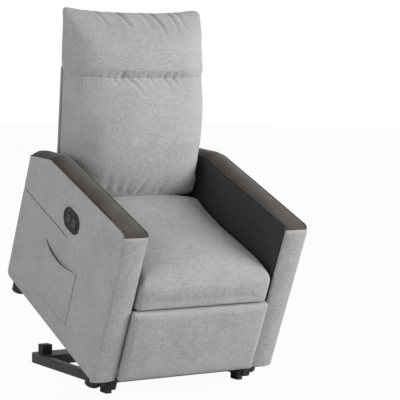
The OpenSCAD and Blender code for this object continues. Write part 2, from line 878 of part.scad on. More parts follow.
valance_d = 16;
valance_y = arm_d - valance_d;
valance_top = 292;
valance_t = 8;
valance_rise = 4;
module rear_valance() {
    z0 = rear_cross_z + valance_rise;
    color(charcoal) seat_frame() difference() {
        translate([-arm_inner, valance_y, z0]) cube([2 * arm_inner, valance_t, valance_top - z0]);
        translate([inlet_x, valance_y, inlet_z]) inlet_block(-overcut, valance_t + overcut, -weld_clear);
    }
}

supply = [150, 60, 40];
module power_supply() {
    color(black) seat_frame() translate([-supply[0] / 2, rear_cross_y - supply[1], rear_cross_z])
        cube(supply);
}

inlet = [30, 22];
inlet_depth = 22;
inlet_wall = 3;
inlet_side = 84;
inlet_x = arm_inner - inlet_side;
inlet_z = 72;
// A block round the inlet's middle from y0 to y1, drawn in all round by inset
module inlet_block(y0, y1, inset) {
    translate([-inlet[0] / 2 + inset, y0, -inlet[1] / 2 + inset])
        cube([inlet[0] - 2 * inset, y1 - y0, inlet[1] - 2 * inset]);
}

module power_inlet() {
    color(black) seat_frame() translate([inlet_x, valance_y + valance_t, inlet_z]) difference() {
        union() {
            inlet_block(-inlet_depth, inlet_wall / 2, 0);
            inlet_block(0, inlet_wall / 2, -inlet_wall);
        }
        inlet_block(inlet_wall - inlet_depth, inlet_depth, inlet_wall);
    }
}

// ---- Hinges of the back and the footrest

hinge_plate_r = 18;
hinge_plate_front = 26;
hinge_plate_z0 = 150;
module back_hinge_plates() {
    h = [recline_y, recline_z];
    color(steel) seat_frame() both_sides() plate(chair_plate_x, plate_t) difference() {
        union() {
            translate([recline_y - hinge_plate_front, hinge_plate_z0])
                square([hinge_plate_front + hinge_plate_r, recline_z - hinge_plate_z0]);
            translate(h) circle(hinge_plate_r);
        }
        translate(h) circle(pin_r + weld_clear);
    }
}

foot_plate_t = 4;
foot_plate_r = 12;
foot_plate_len = 60;
module footrest_hinge_plates() {
    h = [foot_hinge_y, foot_hinge_z];
    color(steel) seat_frame() both_sides() plate(arm_inner - foot_plate_t, foot_plate_t) difference() {
        union() {
            translate(h) circle(foot_plate_r);
            translate([foot_hinge_y, foot_hinge_z - foot_plate_r])
                square([foot_plate_len, 2 * foot_plate_r]);
        }
        translate(h) circle(actuator_pin_r + weld_clear);
    }
}

foot_bracket_x = arm_inner - 2 * foot_plate_t - gap;
back_bracket_x = chair_plate_x - gap - plate_t;
module hinge_pins() {
    color("#8b8b8e") seat_frame() both_sides() {
        bar(back_bracket_x, chair_plate_x + plate_t - back_bracket_x, pin_r, [recline_y, recline_z]);
        bar(foot_bracket_x, arm_inner - foot_bracket_x, actuator_pin_r, [foot_hinge_y, foot_hinge_z]);
    }
}

// ---- Backrest, in its own leaning frame

stile_t = 24;
stile_y = 30;
stile_v0 = 62;
stile_v1 = 506;
module back_stiles() {
    color(wood_colour) back_frame() both_sides()
        translate([back_bracket_x - stile_t, stile_y, stile_v0])
            cube([stile_t, stile_t, stile_v1 - stile_v0]);
}

back_rail_h = 40;
module back_rails() {
    inner = back_bracket_x - stile_t;
    color(wood_colour) back_frame()
        for (v = [stile_v0, (stile_v0 + stile_v1 - back_rail_h) / 2, stile_v1 - back_rail_h])
            translate([-inner, stile_y, v]) cube([2 * inner, stile_t, back_rail_h]);
}

// An arm from the recline pin up the side of the stile
back_bracket_r = 16;
back_bracket_len = 120;
module back_brackets() {
    r = back_bracket_r;
    top = stile_v0 + back_bracket_len;
    color(steel) back_frame() both_sides() plate(back_bracket_x, plate_t) difference() {
        union() {
            circle(r);
            polygon([[-r, 0], [r, 0], [stile_y + stile_t, stile_v0], [stile_y + stile_t, top],
                [stile_y, top], [stile_y, stile_v0 + r / 2]]);
        }
        circle(pin_r + bore_clear);
    }
}

back_front_face = stile_y - soft_gap;
front_taper = 0.1;
side_draw = 10;
top_draw = 46;
low_draw = 20;
// The cushion's lower front edge stands just clear of the seat's crown.
crease_rise = 4;
lumbar_v0 = (seat_edge_z + seat_crown + crease_rise - recline_z
    - (lumbar_front - low_draw) * sin(back_lean)) / cos(back_lean);
module lumbar_cushion() {
    top = head_seam_v - soft_gap / 2;
    half = [arm_inner - back_side_gap, (lumbar_front + back_front_face) / 2, (top - lumbar_v0) / 2];
    centre = [0, (back_front_face - lumbar_front) / 2, (top + lumbar_v0) / 2];
    rings = [for (lat = [-82:10.25:82]) [for (lon = [0:7.5:352.5])
        let (p = ring_point(half, [0.42, 0.2, 0.26, 0.14], lat, lon),
            u = p[0] / half[0], w = p[1] / half[1], v = p[2] / half[2],
            front = (1 - w) / 2,
            draw = side_draw * u * u + top_draw * pow((v + 1) / 2, 3) + low_draw * pow((1 - v) / 2, 4))
        [p[0] * (1 - front_taper * front), p[1] + front * draw, p[2]]]];
    color(grey_fabric) back_frame() translate(centre) skin(rings);
}

head_overhang = 2;
head_rear_step = 4;
head_slope = 100;
head_dip = 18;
gather_h = 3;
gather_count = 5;
// The headrest sits over the top of the frame. Its front has gathers from the top edge and the seam.
module head_cushion() {
    low = head_seam_v + soft_gap / 2;
    full_back = back_rear_d - head_rear_step;
    half = [arm_inner + head_overhang, (head_front + full_back) / 2, (head_top_v - low) / 2];
    centre = [0, (full_back - head_front) / 2, (head_top_v + low) / 2];
    rings = [for (lat = [-82:10.25:82]) [for (lon = [0:6:354])
        let (p = ring_point(half, [0.42, 0.2, 0.14, 0.26], lat, lon),
            u = p[0] / half[0], w = p[1] / half[1], v = p[2] / half[2],
            front = (1 - w) / 2,
            gathers = gather_h * cos(u * 180 * gather_count) * pow(abs(v), 3))
        [p[0] * (1 - front_taper * front),
            p[1] + front * (side_draw * u * u + head_slope * pow(max(v + 0.4, 0) / 1.4, 1.5) + gathers),
            p[2] - head_dip * max(v, 0) * (1 - u * u)]]];
    color(grey_fabric) back_frame() difference() {
        translate(centre) skin(rings);
        translate([-chair_half, back_front_face, low - overcut])
            cube([chair_w, back_rear_d, stile_v1 + soft_gap - low + overcut]);
    }
}

rear_wall = 6;
rear_cover_inset = 4;
rear_cover_v0 = 22;
rear_flange_v0 = 122;
rear_cover_top = stile_v1;
module back_rear_cover() {
    h = arm_inner - back_side_gap - rear_cover_inset;
    depth = back_rear_d - stile_y;
    color(grey_fabric) back_frame() {
        translate([-h, back_rear_d - rear_wall, rear_cover_v0])
            cube([2 * h, rear_wall, rear_cover_top - rear_cover_v0]);
        both_sides() translate([h - rear_wall, stile_y, rear_flange_v0])
            cube([rear_wall, depth - rear_wall, rear_cover_top - rear_flange_v0]);
        translate([-h + rear_wall, stile_y + stile_t, rear_cover_top - rear_wall])
            cube([2 * (h - rear_wall), depth - stile_t - rear_wall, rear_wall]);
    }
}

// ---- Footrest, hanging shut in front of the seat box

board_y = 12;
board_inset = 14;
board_half = arm_inner - footrest_side_gap - board_inset;
board_margin = 7;
module footrest_board() {
    z0 = footrest_z + board_margin;
    color(wood_colour) seat_frame() translate([-board_half, board_y, z0])
        cube([2 * board_half, footrest_board_t, footrest_top_z - board_margin - z0]);
}

footrest_crown = 5;
module footrest_pad() {
    back = board_y - soft_gap;
    half = [arm_inner - footrest_side_gap, (back + footrest_nose) / 2, (footrest_top_z - footrest_z) / 2];
    centre = [0, (back - footrest_nose) / 2, (footrest_top_z + footrest_z) / 2];
    rings = [for (lat = [-84:10.5:84]) [for (lon = [0:7.5:352.5])
        let (p = ring_point(half, [0.3, 0.3, 0.16, 0.1], lat, lon),
            u = p[0] / half[0], v = p[2] / half[2],
            front = max(-p[1] / half[1], 0))
        [p[0], p[1] + front * footrest_crown * (u * u + pow(v, 4)) / 2,
            p[2] * (1 - 0.004 * (1 - u * u))]]];
    color(grey_fabric) seat_frame() translate(centre) skin(rings);
}

// Arms that carry the board from the hinge, with a foot bolted behind the board
foot_bracket_r = 11;
foot_bracket_drop = 90;
foot_bracket_lap = 40;
foot_bracket_h = 70;
module footrest_brackets() {
    back = board_y + footrest_board_t;
    low = footrest_top_z - foot_bracket_drop;
    r = foot_bracket_r;
    color(steel) seat_frame() both_sides() {
        plate(foot_bracket_x, foot_plate_t) difference() {
            union() {
                translate([foot_hinge_y, foot_hinge_z]) circle(r);
                polygon([[foot_hinge_y - r, foot_hinge_z], [foot_hinge_y - 0.8 * r, low],
                    [back + foot_plate_t, low], [foot_hinge_y + r, foot_hinge_z]]);
            }
            translate([foot_hinge_y, foot_hinge_z]) circle(actuator_pin_r + bore_clear);
        }
        translate([board_half - foot_bracket_lap, back, low])
            cube([foot_bracket_x - board_half + foot_bracket_lap, foot_plate_t, foot_bracket_h]);
    }
}

base_rear_member();
base_side_tubes();
base_front_tube();
base_front_feet();
rear_stop_posts();
front_pivot_brackets();
rear_pivot_brackets();
motor_bracket();
base_pivot_pins();
motor_pin();
front_lift_links();
lift_torque_tube();
rear_lift_links();
rear_link_pins();
actuator_gearbox();
actuator_motor();
actuator_tube();
actuator_rod();
rod_end_pin();
mechanism_plates();
chair_pivot_pins();
seat_cross_tubes();
actuator_bracket();
seat_side_rails();
seat_cross_rails();
seat_webbing();
seat_cushion();
arm_left_frame();
arm_right_frame();
arm_left_outer_cover();
arm_right_outer_cover();
arm_left_inner_cover();
arm_right_inner_cover();
arm_left_front_cover();
arm_right_front_cover();
arm_left_pad();
arm_right_pad();
side_pocket();
control_bezel();
control_housing();
button_up();
button_down();
chair_feet();
front_skids();
rear_valance();
power_supply();
power_inlet();
back_hinge_plates();
footrest_hinge_plates();
hinge_pins();
back_stiles();
back_rails();
back_brackets();
lumbar_cushion();
head_cushion();
back_rear_cover();
footrest_board();
footrest_pad();
footrest_brackets();
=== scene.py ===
import json
import math

import bmesh
import bpy
import numpy as np
from mathutils import Matrix, Vector


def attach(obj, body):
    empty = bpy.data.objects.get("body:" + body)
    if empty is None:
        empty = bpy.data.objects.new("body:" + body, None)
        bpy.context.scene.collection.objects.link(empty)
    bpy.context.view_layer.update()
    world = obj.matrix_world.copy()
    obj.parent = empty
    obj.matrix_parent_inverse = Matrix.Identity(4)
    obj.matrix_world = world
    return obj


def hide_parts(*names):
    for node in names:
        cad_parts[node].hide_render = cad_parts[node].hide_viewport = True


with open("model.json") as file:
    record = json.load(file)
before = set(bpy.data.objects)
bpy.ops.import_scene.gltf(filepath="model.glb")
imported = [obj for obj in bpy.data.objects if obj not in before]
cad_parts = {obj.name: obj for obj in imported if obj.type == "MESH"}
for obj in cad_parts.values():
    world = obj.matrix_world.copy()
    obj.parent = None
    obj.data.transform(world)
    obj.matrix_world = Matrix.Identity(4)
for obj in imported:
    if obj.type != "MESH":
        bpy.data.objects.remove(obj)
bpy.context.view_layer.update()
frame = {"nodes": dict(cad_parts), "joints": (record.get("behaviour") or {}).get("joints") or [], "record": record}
scene = bpy.context.scene
print("frame loaded")

# The chair's own frame has y from the arm fronts to the rear and z up from the arms' lower edge.
# The back's frame starts at the recline hinge, with z up the lean of the back.
chair = {"tilt": 24, "lean": 18.4, "hinge": (0, 0.560, 0.330)}
joints = {joint["name"]: joint for joint in frame["joints"]}
atHinge = Matrix.Translation(joints["recline"]["pos_m"])
seatFrame = atHinge @ Matrix.Rotation(math.radians(chair["tilt"]), 4, "X")
seatFrame = seatFrame @ Matrix.Translation([-v for v in chair["hinge"]])
backTilt = chair["tilt"] - chair["lean"]
backFrame = atHinge @ Matrix.Rotation(math.radians(backTilt), 4, "X")


def place(points, matrix):
    m = np.array(matrix)
    return np.asarray(points) @ m[:3, :3].T + m[:3, 3]


def localBox(node, matrix):
    # lowest and highest corner of a CAD node in the chair's or the back's own frame
    local = place([v.co for v in frame["nodes"][node].data.vertices], matrix.inverted())
    return local.min(0), local.max(0)


def localMiddle(node):
    low, high = localBox(node, seatFrame)
    return (low + high) / 2


# camera and light

cameraSetup = {
    "place": (-2.8935, -5.0683, 1.0587), "heading": -31.577, "pitch": -4.258, "roll": 0.371, "lens": 150.89,
    "sensor": 36,
}


def linked(name, data):
    made = bpy.data.objects.new(name, data)
    scene.collection.objects.link(made)
    return made


def makeCamera(setup):
    data = bpy.data.cameras.new("camera")
    data.lens, data.sensor_width = setup["lens"], setup["sensor"]
    data.clip_start, data.clip_end = 0.1, 100
    scene.camera = linked("camera", data)
    turn = Matrix.Translation(setup["place"])
    for angle, axis in ((setup["heading"], "Z"), (90 + setup["pitch"], "X"), (setup["roll"], "Z")):
        turn = turn @ Matrix.Rotation(math.radians(angle), 4, axis)
    scene.camera.matrix_world = turn


makeCamera(cameraSetup)
scene.view_settings.view_transform = "Standard"


# materials


def linear(values):
    # a colour given as 0 to 255, as Blender's sockets want it
    return (*[(v / 255 / 12.92) if v < 10.3 else ((v / 255 + 0.055) / 1.055) ** 2.4 for v in values], 1)


class Wire:
    # a value in a node tree, which Python's operators turn into Math nodes

    def __init__(self, nodes, socket):
        self.nodes, self.socket = nodes, socket

    def math(self, operation, *others):
        return self.nodes.node("ShaderNodeMath", {"operation": operation}, [self, *others])

    def __add__(self, other):
        return self.math("ADD", other)

    def __rsub__(self, other):
        return self.nodes.node("ShaderNodeMath", {"operation": "SUBTRACT"}, [other, self])

    def __mul__(self, other):
        return self.math("MULTIPLY", other)

    __radd__ = __add__
    __rmul__ = __mul__


class Nodes:
    # a node tree, built node by node

    def __init__(self, tree):
        self.tree = tree

    def feed(self, node, sockets):
        items = sockets.items() if isinstance(sockets, dict) else enumerate(sockets)
        for key, value in items:
            if isinstance(value, Wire):
                self.tree.links.new(value.socket, node.inputs[key])
            else:
                node.inputs[key].default_value = value

    def node(self, kind, settings=None, sockets=(), output=0):
        made = self.tree.nodes.new(kind)
        for key, value in (settings or {}).items():
            setattr(made, key, value)
        self.feed(made, sockets)
        return Wire(self, made.outputs[output])


class Finish(Nodes):
    # a material, or the world

    def __init__(self, owner):
        owner.use_nodes = True
        super().__init__(owner.node_tree)
        self.owner = owner

    def coat(self, tone, dark, light, roughness, height, depth, **others):
        # the main shader, whose colour goes from dark to light with tone
        sockets = {key.replace("_", " "): value for key, value in others.items()}
        sockets["Base Color"] = self.mix(tone, linear(dark), linear(light))
        sockets["Roughness"], sockets["Normal"] = roughness, self.bump(height, depth)
        self.feed(self.tree.nodes["Principled BSDF"], sockets)
        return self.owner

    def local(self, tilt=0, scale=(1, 1, 1)):
        # object coordinates turned back by tilt, and scaled
        coords = self.node("ShaderNodeTexCoord", output="Object")
        return self.turned(coords, tilt, Scale=[1 / s for s in scale])

    def turned(self, vector, tilt, **others):
        sockets = {"Vector": vector, "Rotation": (math.radians(tilt), 0, 0), **others}
        return self.node("ShaderNodeMapping", {"vector_type": "TEXTURE"}, sockets)

    def noise(self, vector, scale=1.0, detail=2.0, rough=0.5):
        sockets = {"Vector": vector, "Scale": scale, "Detail": detail, "Roughness": rough}
        return self.node("ShaderNodeTexNoise", {}, sockets)

    def parts(self, vector):
        x = self.node("ShaderNodeSeparateXYZ", {}, [vector])
        return [Wire(self, output) for output in x.socket.node.outputs]

    def mix(self, factor, first, second):
        return self.node("ShaderNodeMix", {"data_type": "RGBA"}, {0: factor, 6: first, 7: second}, output=2)

    def between(self, value, low, high):
        return self.node("ShaderNodeMapRange", {"clamp": True}, {"Value": value, "From Min": low, "From Max": high})

    def bump(self, height, distance):
        return self.node("ShaderNodeBump", {}, {"Height": height, "Distance": distance}, output="Normal")


def newFinish(name):
    return Finish(bpy.data.materials.new(name))


def streaks(finish, tilt, fine, coarse, detail):
    # threads that run along each axis, shown on the faces that hold that axis
    facing = finish.node("ShaderNodeAttribute", {"attribute_name": "facing"}, output="Vector")
    facing = finish.parts(finish.turned(facing, tilt))
    total = 0
    for axis in range(3):
        scale = [1 / coarse if i == axis else 1 / fine for i in range(3)]
        lines = finish.noise(finish.local(tilt, scale), 1.0, detail, 0.6)
        total = total + lines * (1 - facing[axis] * facing[axis])
    return total * 0.5


def weaveBump(finish, tilt, pitch):
    # plain weave, thread over thread
    x, y, z = [w.math("SINE") for w in finish.parts(finish.local(tilt, [2 * math.pi / pitch] * 3))]
    return x * y + y * z + z * x


def wovenCloth(name, dark, light, tilt, sheen=0.25, slub=(0.0026, 0.024), pitch=0.0022):
    finish = newFinish(name)
    slubs = streaks(finish, tilt, slub[0], slub[1], 3.0)
    threads = streaks(finish, tilt, slub[0] * 0.45, slub[1] * 0.4, 1.0)
    cloud = finish.noise(finish.local(tilt), 9.0, 2.0)
    tone = finish.between(slubs * 0.6 + threads * 0.28 + cloud * 0.12, 0.36, 0.62)
    height = slubs * 0.8 + threads * 0.5 + weaveBump(finish, tilt, pitch) * 0.12
    shine = {"Specular_IOR_Level": 0.18, "Sheen_Weight": sheen, "Sheen_Roughness": 0.5}
    return finish.coat(tone, dark, light, 0.92, height, 0.0006, **shine)


def suede(name, dark, light, tilt):
    # short brushed pile, with soft patches where it was stroked
    finish = newFinish(name)
    patches = finish.noise(finish.local(tilt), 14.0, 4.0, 0.6)
    pile = finish.noise(finish.local(tilt), 900.0, 2.0)
    tone = finish.between(patches * 0.75 + pile * 0.25, 0.3, 0.7)
    shine = {"Specular_IOR_Level": 0.2, "Sheen_Weight": 0.2, "Sheen_Roughness": 0.4}
    return finish.coat(tone, dark, light, 0.85, pile * 0.7 + patches * 0.3, 0.0006, **shine)


def paint(name, colour, edgeColour, roughness=0.45, grain=0.00025):
    # powder coat: a fine orange-peel skin, paler where it has rubbed
    finish = newFinish(name)
    skin = finish.noise(finish.local(), 700.0, 2.0)
    wear = finish.between(finish.noise(finish.local(), 38.0, 5.0, 0.65), 0.52, 0.78)
    gloss = finish.between(skin * 0.5 + wear * 0.4, 0.0, 1.6) * 0.4 + (roughness - 0.1)
    return finish.coat(wear * 0.5, colour, edgeColour, gloss, skin, grain, Specular_IOR_Level=0.5)


def metal(name, colour, darker, roughness, drawn=(1, 60, 60)):
    # bare metal with fine lines from drawing or turning
    finish = newFinish(name)
    lines = finish.noise(finish.local(0, [s * 12 for s in drawn]), 1.0, 4.0, 0.7)
    stain = finish.noise(finish.local(), 30.0, 3.0)
    tone = finish.between(stain * 0.6 + lines * 0.4, 0.3, 0.7)
    return finish.coat(tone, darker, colour, lines * 0.2 + (roughness - 0.1), lines, 0.00008, Metallic=1.0)


def plastic(name, colour, paler, roughness, grain=0.00015, coat=0.0):
    # moulded plastic with a spark-eroded grain
    finish = newFinish(name)
    pits = finish.noise(finish.local(), 1400.0, 2.0)
    tone = finish.between(finish.noise(finish.local(), 24.0, 3.0), 0.35, 0.75)
    shine = {"Specular_IOR_Level": 0.5, "Coat_Weight": coat, "Coat_Roughness": 0.15}
    return finish.coat(tone, colour, paler, pits * 0.16 + (roughness - 0.08), pits, grain, **shine)


def timber(name, pale, dark, tilt):
    # plywood and pine with the grain along x
    finish = newFinish(name)
    grain = finish.noise(finish.local(tilt, (6, 90, 90)), 1.0, 5.0, 0.65)
    rings = finish.noise(finish.local(tilt, (2, 22, 22)), 1.0, 2.0)
    tone = finish.between(grain * 0.6 + rings * 0.4, 0.34, 0.68)
    return finish.coat(tone, dark, pale, grain * 0.2 + 0.6, grain, 0.0004, Specular_IOR_Level=0.25)


def strapCloth(name, dark, light, tilt):
    # elastic webbing with raised ribs along y
    finish = newFinish(name)
    x, y, _ = finish.parts(finish.local(tilt))
    ribs, picks = [(w * (2 * math.pi / p)).math("SINE") * 0.5 + 0.5 for w, p in ((x, 0.0045), (y, 0.0026))]
    tone = finish.between(ribs * 0.7 + picks * 0.3, 0.1, 0.9)
    return finish.coat(tone, dark, light, 0.85, ribs * 0.8 + picks * 0.4, 0.0008, Specular_IOR_Level=0.2)


def grey(value):
    return (value, value, value)


linen = ((134, 134, 134), (181, 180, 179))
seatCloth = wovenCloth("greyLinenSeat", *linen, chair["tilt"])
backCloth = wovenCloth("greyLinenBack", *linen, backTilt)
padCloth = suede("taupeSuede", (62, 58, 54), (84, 79, 75), chair["tilt"])
darkCloth = wovenCloth("charcoalLinen", (40, 40, 41), grey(62), chair["tilt"], 0.12, (0.0024, 0.016), 0.0016)
liningCloth = wovenCloth("blackLining", (24, 24, 25), grey(40), chair["tilt"], 0.05, (0.0016, 0.004), 0.0014)
padThread = plastic("taupeThread", (58, 54, 50), (78, 74, 70), 0.6)
# a grey darker than the linen, for the cord round the pocket, which paints the shade of the seam gap beside it
greyShadeThread = plastic("greyShadeThread", grey(100), grey(122), 0.6)
strapFinish = strapCloth("webbingStrap", (30, 30, 32), (74, 74, 76), chair["tilt"])
panelPlastic = plastic("glossPanel", (13, 13, 14), (22, 22, 23), 0.34, 0.00006, 0.25)
finishes = {
    "frame_steel": paint("blackPowderCoat", (68, 68, 70), (112, 112, 114)),
    "pin_steel": metal("zincPlate", (168, 168, 166), (120, 120, 122), 0.35),
    "tube_metal": metal("aluminiumTube", (186, 187, 190), (150, 151, 154), 0.3, (60, 60, 1)),
    "rod_chrome": metal("chromeRod", (214, 215, 218), (190, 191, 196), 0.16),
    "black_plastic": plastic("blackPlastic", (34, 34, 35), (52, 52, 53), 0.5),
    "button_plastic": plastic("buttonPlastic", (46, 46, 47), (62, 62, 63), 0.3, 0.00005, 0.3),
    "foot_rubber": plastic("footRubber", (36, 36, 37), grey(56), 0.55, 0.0002),
    "board": timber("pineBoard", (206, 172, 126), (168, 130, 86), chair["tilt"]),
    "grey_fabric": seatCloth,
    "dark_fabric": padCloth,
    "charcoal_fabric": liningCloth,
}


for subpart in frame["record"]["subparts"]:
    slotName = subpart.get("material") or subpart.get("material_slot")
    if slotName in finishes:
        materials = frame["nodes"][subpart["node"]].data.materials
        materials.clear()
        materials.append(finishes[slotName])
print("materials made")


# meshes


def gridFaces(rows, columns, closed=False):
    # quads over rows of points, whose last column meets the first one if closed
    last = columns if closed else columns - 1
    faces = []
    for r in range(rows - 1):
        for c in range(last):
            d = (c + 1) % columns
            faces.append((r * columns + c, r * columns + d, (r + 1) * columns + d, (r + 1) * columns + c))
    return faces


def addMesh(name, local, faces, material, crease=35, matrix=seatFrame):
    # a mesh from points in the chair's or the back's own frame
    mesh = bpy.data.meshes.new(name)
    mesh.from_pydata([tuple(p) for p in place(local, matrix)], [], faces)
    mesh.materials.append(material)
    mesh.shade_smooth()
    made = linked(name, mesh)
    outwards(mesh)
    if crease:
        mesh.set_sharp_from_angle(angle=math.radians(crease))
    return made


def capped(name, local, around, material, crease=60, mirror=False):
    # a closed form through rings of points, with a face over its first and its last ring
    count = len(local)
    if mirror:
        local = local * (-1, 1, 1)
    faces = gridFaces(count // around, around, True)
    faces += [tuple(range(around)), tuple(range(count - around, count))]
    return addMesh(name, local, faces, material, crease)


def closedSheet(name, face, rear, columns, material):
    # a grid of points and another one behind it, joined round their borders
    count = len(face)
    index = np.arange(count).reshape(-1, columns)
    faces = gridFaces(len(index), columns)
    faces += [tuple(i + count for i in reversed(f)) for f in faces]
    ring = np.concatenate([index[0], index[1:, -1], index[-1, -2::-1], index[-2:0:-1, 0]]).tolist()
    faces += [(i, i + count, j + count, j) for i, j in zip(ring, ring[1:] + ring[:1])]
    return addMesh(name, np.concatenate([face, rear]), faces, material, 60)


def outwards(mesh):
    # turns the faces of a closed mesh outwards
    work = bmesh.new()
    work.from_mesh(mesh)
    bmesh.ops.remove_doubles(work, verts=work.verts, dist=1e-6)
    bmesh.ops.recalc_face_normals(work, faces=work.faces)
    work.to_mesh(mesh)
    work.free()


def storeVectors(mesh, label, values):
    attribute = mesh.attributes.new(label, "FLOAT_VECTOR", "POINT")
    attribute.data.foreach_set("vector", values.ravel())


def finishPiece(piece, replaced=(), body="chair"):
    # the cloths' threads follow the way that the surface faces
    storeVectors(piece.data, "facing", normals(piece))
    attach(piece, body)
    if replaced:
        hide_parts(*replaced)
    return piece


def applied(piece):
    # the piece as its modifiers leave it, with none left on it
    graph = bpy.context.evaluated_depsgraph_get()
    mesh = bpy.data.meshes.new_from_object(piece.evaluated_get(graph))
    piece.modifiers.clear()
    old = piece.data
    piece.data = mesh
    bpy.data.meshes.remove(old)
    return piece


def points(piece):
    flat = np.empty(len(piece.data.vertices) * 3)
    piece.data.vertices.foreach_get("co", flat)
    return flat.reshape(-1, 3)


def setPoints(piece, moved):
    piece.data.vertices.foreach_set("co", np.asarray(moved, float).ravel())
    piece.data.update()


def normals(piece):
    flat = np.empty(len(piece.data.vertices) * 3, np.float32)
    piece.data.vertex_normals.foreach_get("vector", flat)
    return flat.reshape(-1, 3).astype(float)


# cushions


def roundSquare(angle, edge):
    # a circle squared off: the smaller the edge, the squarer
    c, s = np.cos(angle), np.sin(angle)
    reach = (np.abs(c) ** (2 / edge) + np.abs(s) ** (2 / edge)) ** (edge / 2)
    return np.stack([c / reach, s / reach], 1)


def roundedBox(half, radii, steps=(26, 14, 7)):
    # rings of a box round its z axis, as (x, y) for a given inset. radii are those of its front and rear corners.
    def ring(inset):
        arcs, parts = [], []
        for k, (sx, sy) in enumerate(((1, -1), (1, 1), (-1, 1), (-1, -1))):
            r = max(radii[sy > 0] - inset, 0.002)
            angles = np.radians(np.linspace(90 * k - 90, 90 * k, steps[2]))
            cx, cy = sx * (half[0] - inset - r), sy * (half[1] - inset - r)
            arcs.append(np.stack([cx + r * np.cos(angles), cy + r * np.sin(angles)], 1))
        for k, (one, other) in enumerate(zip(arcs, arcs[1:] + arcs[:1])):
            ts = np.linspace(0, 1, steps[1 - k % 2] + 1)[1:-1, None]
            parts += [one, one[-1] + (other[0] - one[-1]) * ts]
        return np.concatenate(parts)

    return ring


def softProfile(low, high, lowRadius, highRadius, reach, sideRows=24, capRows=12):
    # a side view as (inset, height): out over a round lower edge, up, and in over a round upper edge
    def bow(radius, centre, first, last):
        angles = np.radians(np.linspace(first, last, 9))
        return [(radius * (1 - math.cos(a)), centre + radius * math.sin(a)) for a in angles]

    rows = [(reach - (reach - lowRadius) * t, low) for t in np.linspace(0, 1, capRows)[:-1]]
    rows += bow(lowRadius, low + lowRadius, -90, 0)
    rows += [(0, z) for z in np.linspace(low + lowRadius, high - highRadius, sideRows)[1:-1]]
    rows += bow(highRadius, high - highRadius, 0, 90)
    rows += [(highRadius + (reach - highRadius) * t, high) for t in np.linspace(0, 1, capRows)[1:]]
    return rows


def ringForm(name, profile, outline, shape, matrix, material):
    # a closed cushion of rings, whose points shape then moves
    rings = [np.column_stack([ring, np.full(len(ring), h)]) for ring, h in ((outline(i), h) for i, h in profile)]
    around = len(rings[0])
    local = shape(np.concatenate([[rings[0].mean(0)], *rings, [rings[-1].mean(0)]]))
    last = len(local) - 1
    faces = [tuple(i + 1 for i in f) for f in gridFaces(len(rings), around, True)]
    for c in range(around):
        d = (c + 1) % around
        faces += [(0, 1 + d, 1 + c), (last, last - around + c, last - around + d)]
    return addMesh(name, local, faces, material, 0, matrix)


def changed(piece, kind, **settings):
    # the piece after one modifier, with none left on it
    change = piece.modifiers.new(kind.lower(), kind)
    for key, value in settings.items():
        setattr(change, key, value)
    return applied(piece)


def puffUp(piece, matrix, s, keepInside, frames=18, sink=0.0015):
    # inflates the cushion's cloth, and keeps a share of the change, cut at cap outwards and at sink inwards
    start, outward = points(piece), normals(piece)
    cloth = piece.modifiers.new("cloth", "CLOTH")
    settings = cloth.settings
    settings.quality = 4
    settings.mass = 0.3
    settings.tension_stiffness, settings.compression_stiffness = 12, 12
    settings.shear_stiffness, settings.bending_stiffness = 6, 0.6
    settings.use_pressure, settings.uniform_pressure_force = True, s["pressure"]
    settings.effector_weights.gravity = 0
    cloth.point_cache.frame_start, cloth.point_cache.frame_end = 1, frames
    for at in range(1, frames + 1):
        scene.frame_set(at)
    applied(piece)
    scene.frame_set(1)
    step = points(piece) - start
    inward = np.minimum((step * outward).sum(1) + sink, 0)
    step -= outward * inward[:, None]
    length = np.linalg.norm(step, axis=1, keepdims=True)
    step *= s["share"] * np.minimum(1, s["cap"] / np.maximum(length, 1e-9))
    local = place(start + step, matrix.inverted())
    setPoints(piece, place(keepInside(local), matrix))


def soften(piece, matrix, s, keepInside=None, passes=4):
    changed(piece, "REMESH", mode="VOXEL", voxel_size=s["voxel"], use_smooth_shade=True)
    changed(piece, "SMOOTH", factor=0.5, iterations=passes)
    puffUp(piece, matrix, s, keepInside or (lambda local: np.clip(local, *s["limits"])))
    smoother(piece)


def frontShare(piece, matrix, gain, offset):
    # 1 where the cushion faces the front, 0 where it faces away
    return np.clip((normals(piece) @ np.array(matrix)[:3, :3] @ np.array((0, -1, 0))) * gain + offset, 0, 1)


def bell(value, width):
    return np.exp(-((value / width) ** 2))


def folds(piece, matrix, creases):
    # presses creases into the cloth, each deepest at its start
    start, outward = points(piece), normals(piece)
    local = place(start, matrix.inverted())
    shift = np.zeros(len(start))
    for *sizes, bow in creases:
        x0, z0, x1, z1, across, depth = [v / 1000 for v in sizes]
        a, b = np.array((x0, z0)), np.array((x1, z1))
        length = np.linalg.norm(b - a)
        along = (b - a) / length
        rel = local[:, [0, 2]] - a
        t = rel @ along / length
        inside = np.clip(t, 0, 1)
        side = rel @ np.array([along[1], -along[0]]) + bow * length * inside * (1 - inside) * 4
        fade = np.clip(1 - t, 0, 1) ** 0.8 * np.clip(1 + t * 4, 0, 1)
        width = across * (1 + 0.5 * inside)
        ridge = bell(side + 1.7 * width, 1.3 * width) + bell(side - 1.7 * width, 1.3 * width)
        shift += depth * fade * (0.42 * ridge - bell(side, width))
    setPoints(piece, start + outward * (shift * frontShare(piece, matrix, 2, 0.5))[:, None])


def smoother(piece):
    change = piece.modifiers.new("smooth", "SUBSURF")
    change.levels = change.render_levels = 1


seatPad = {
    "halfWidth": 0.2585, "front": -0.016, "rear": 0.529, "low": 0.2706, "high": 0.378,
    "corners": (0.020, 0.030), "lowEdge": 0.006, "topEdge": 0.032,
    "edgeLine": [
        (-0.016, 0.374), (0.03, 0.387), (0.09, 0.391), (0.19, 0.387), (0.31, 0.380), (0.44, 0.383), (0.529, 0.398),
    ],
    "crown": 0.033, "voxel": 0.0055, "pressure": 4, "cap": 0.022, "share": 0.5, "shrink": 0.004,
    "limits": ((-0.2625, -0.027, 0.2706), (0.2625, 0.531, 1)),
}


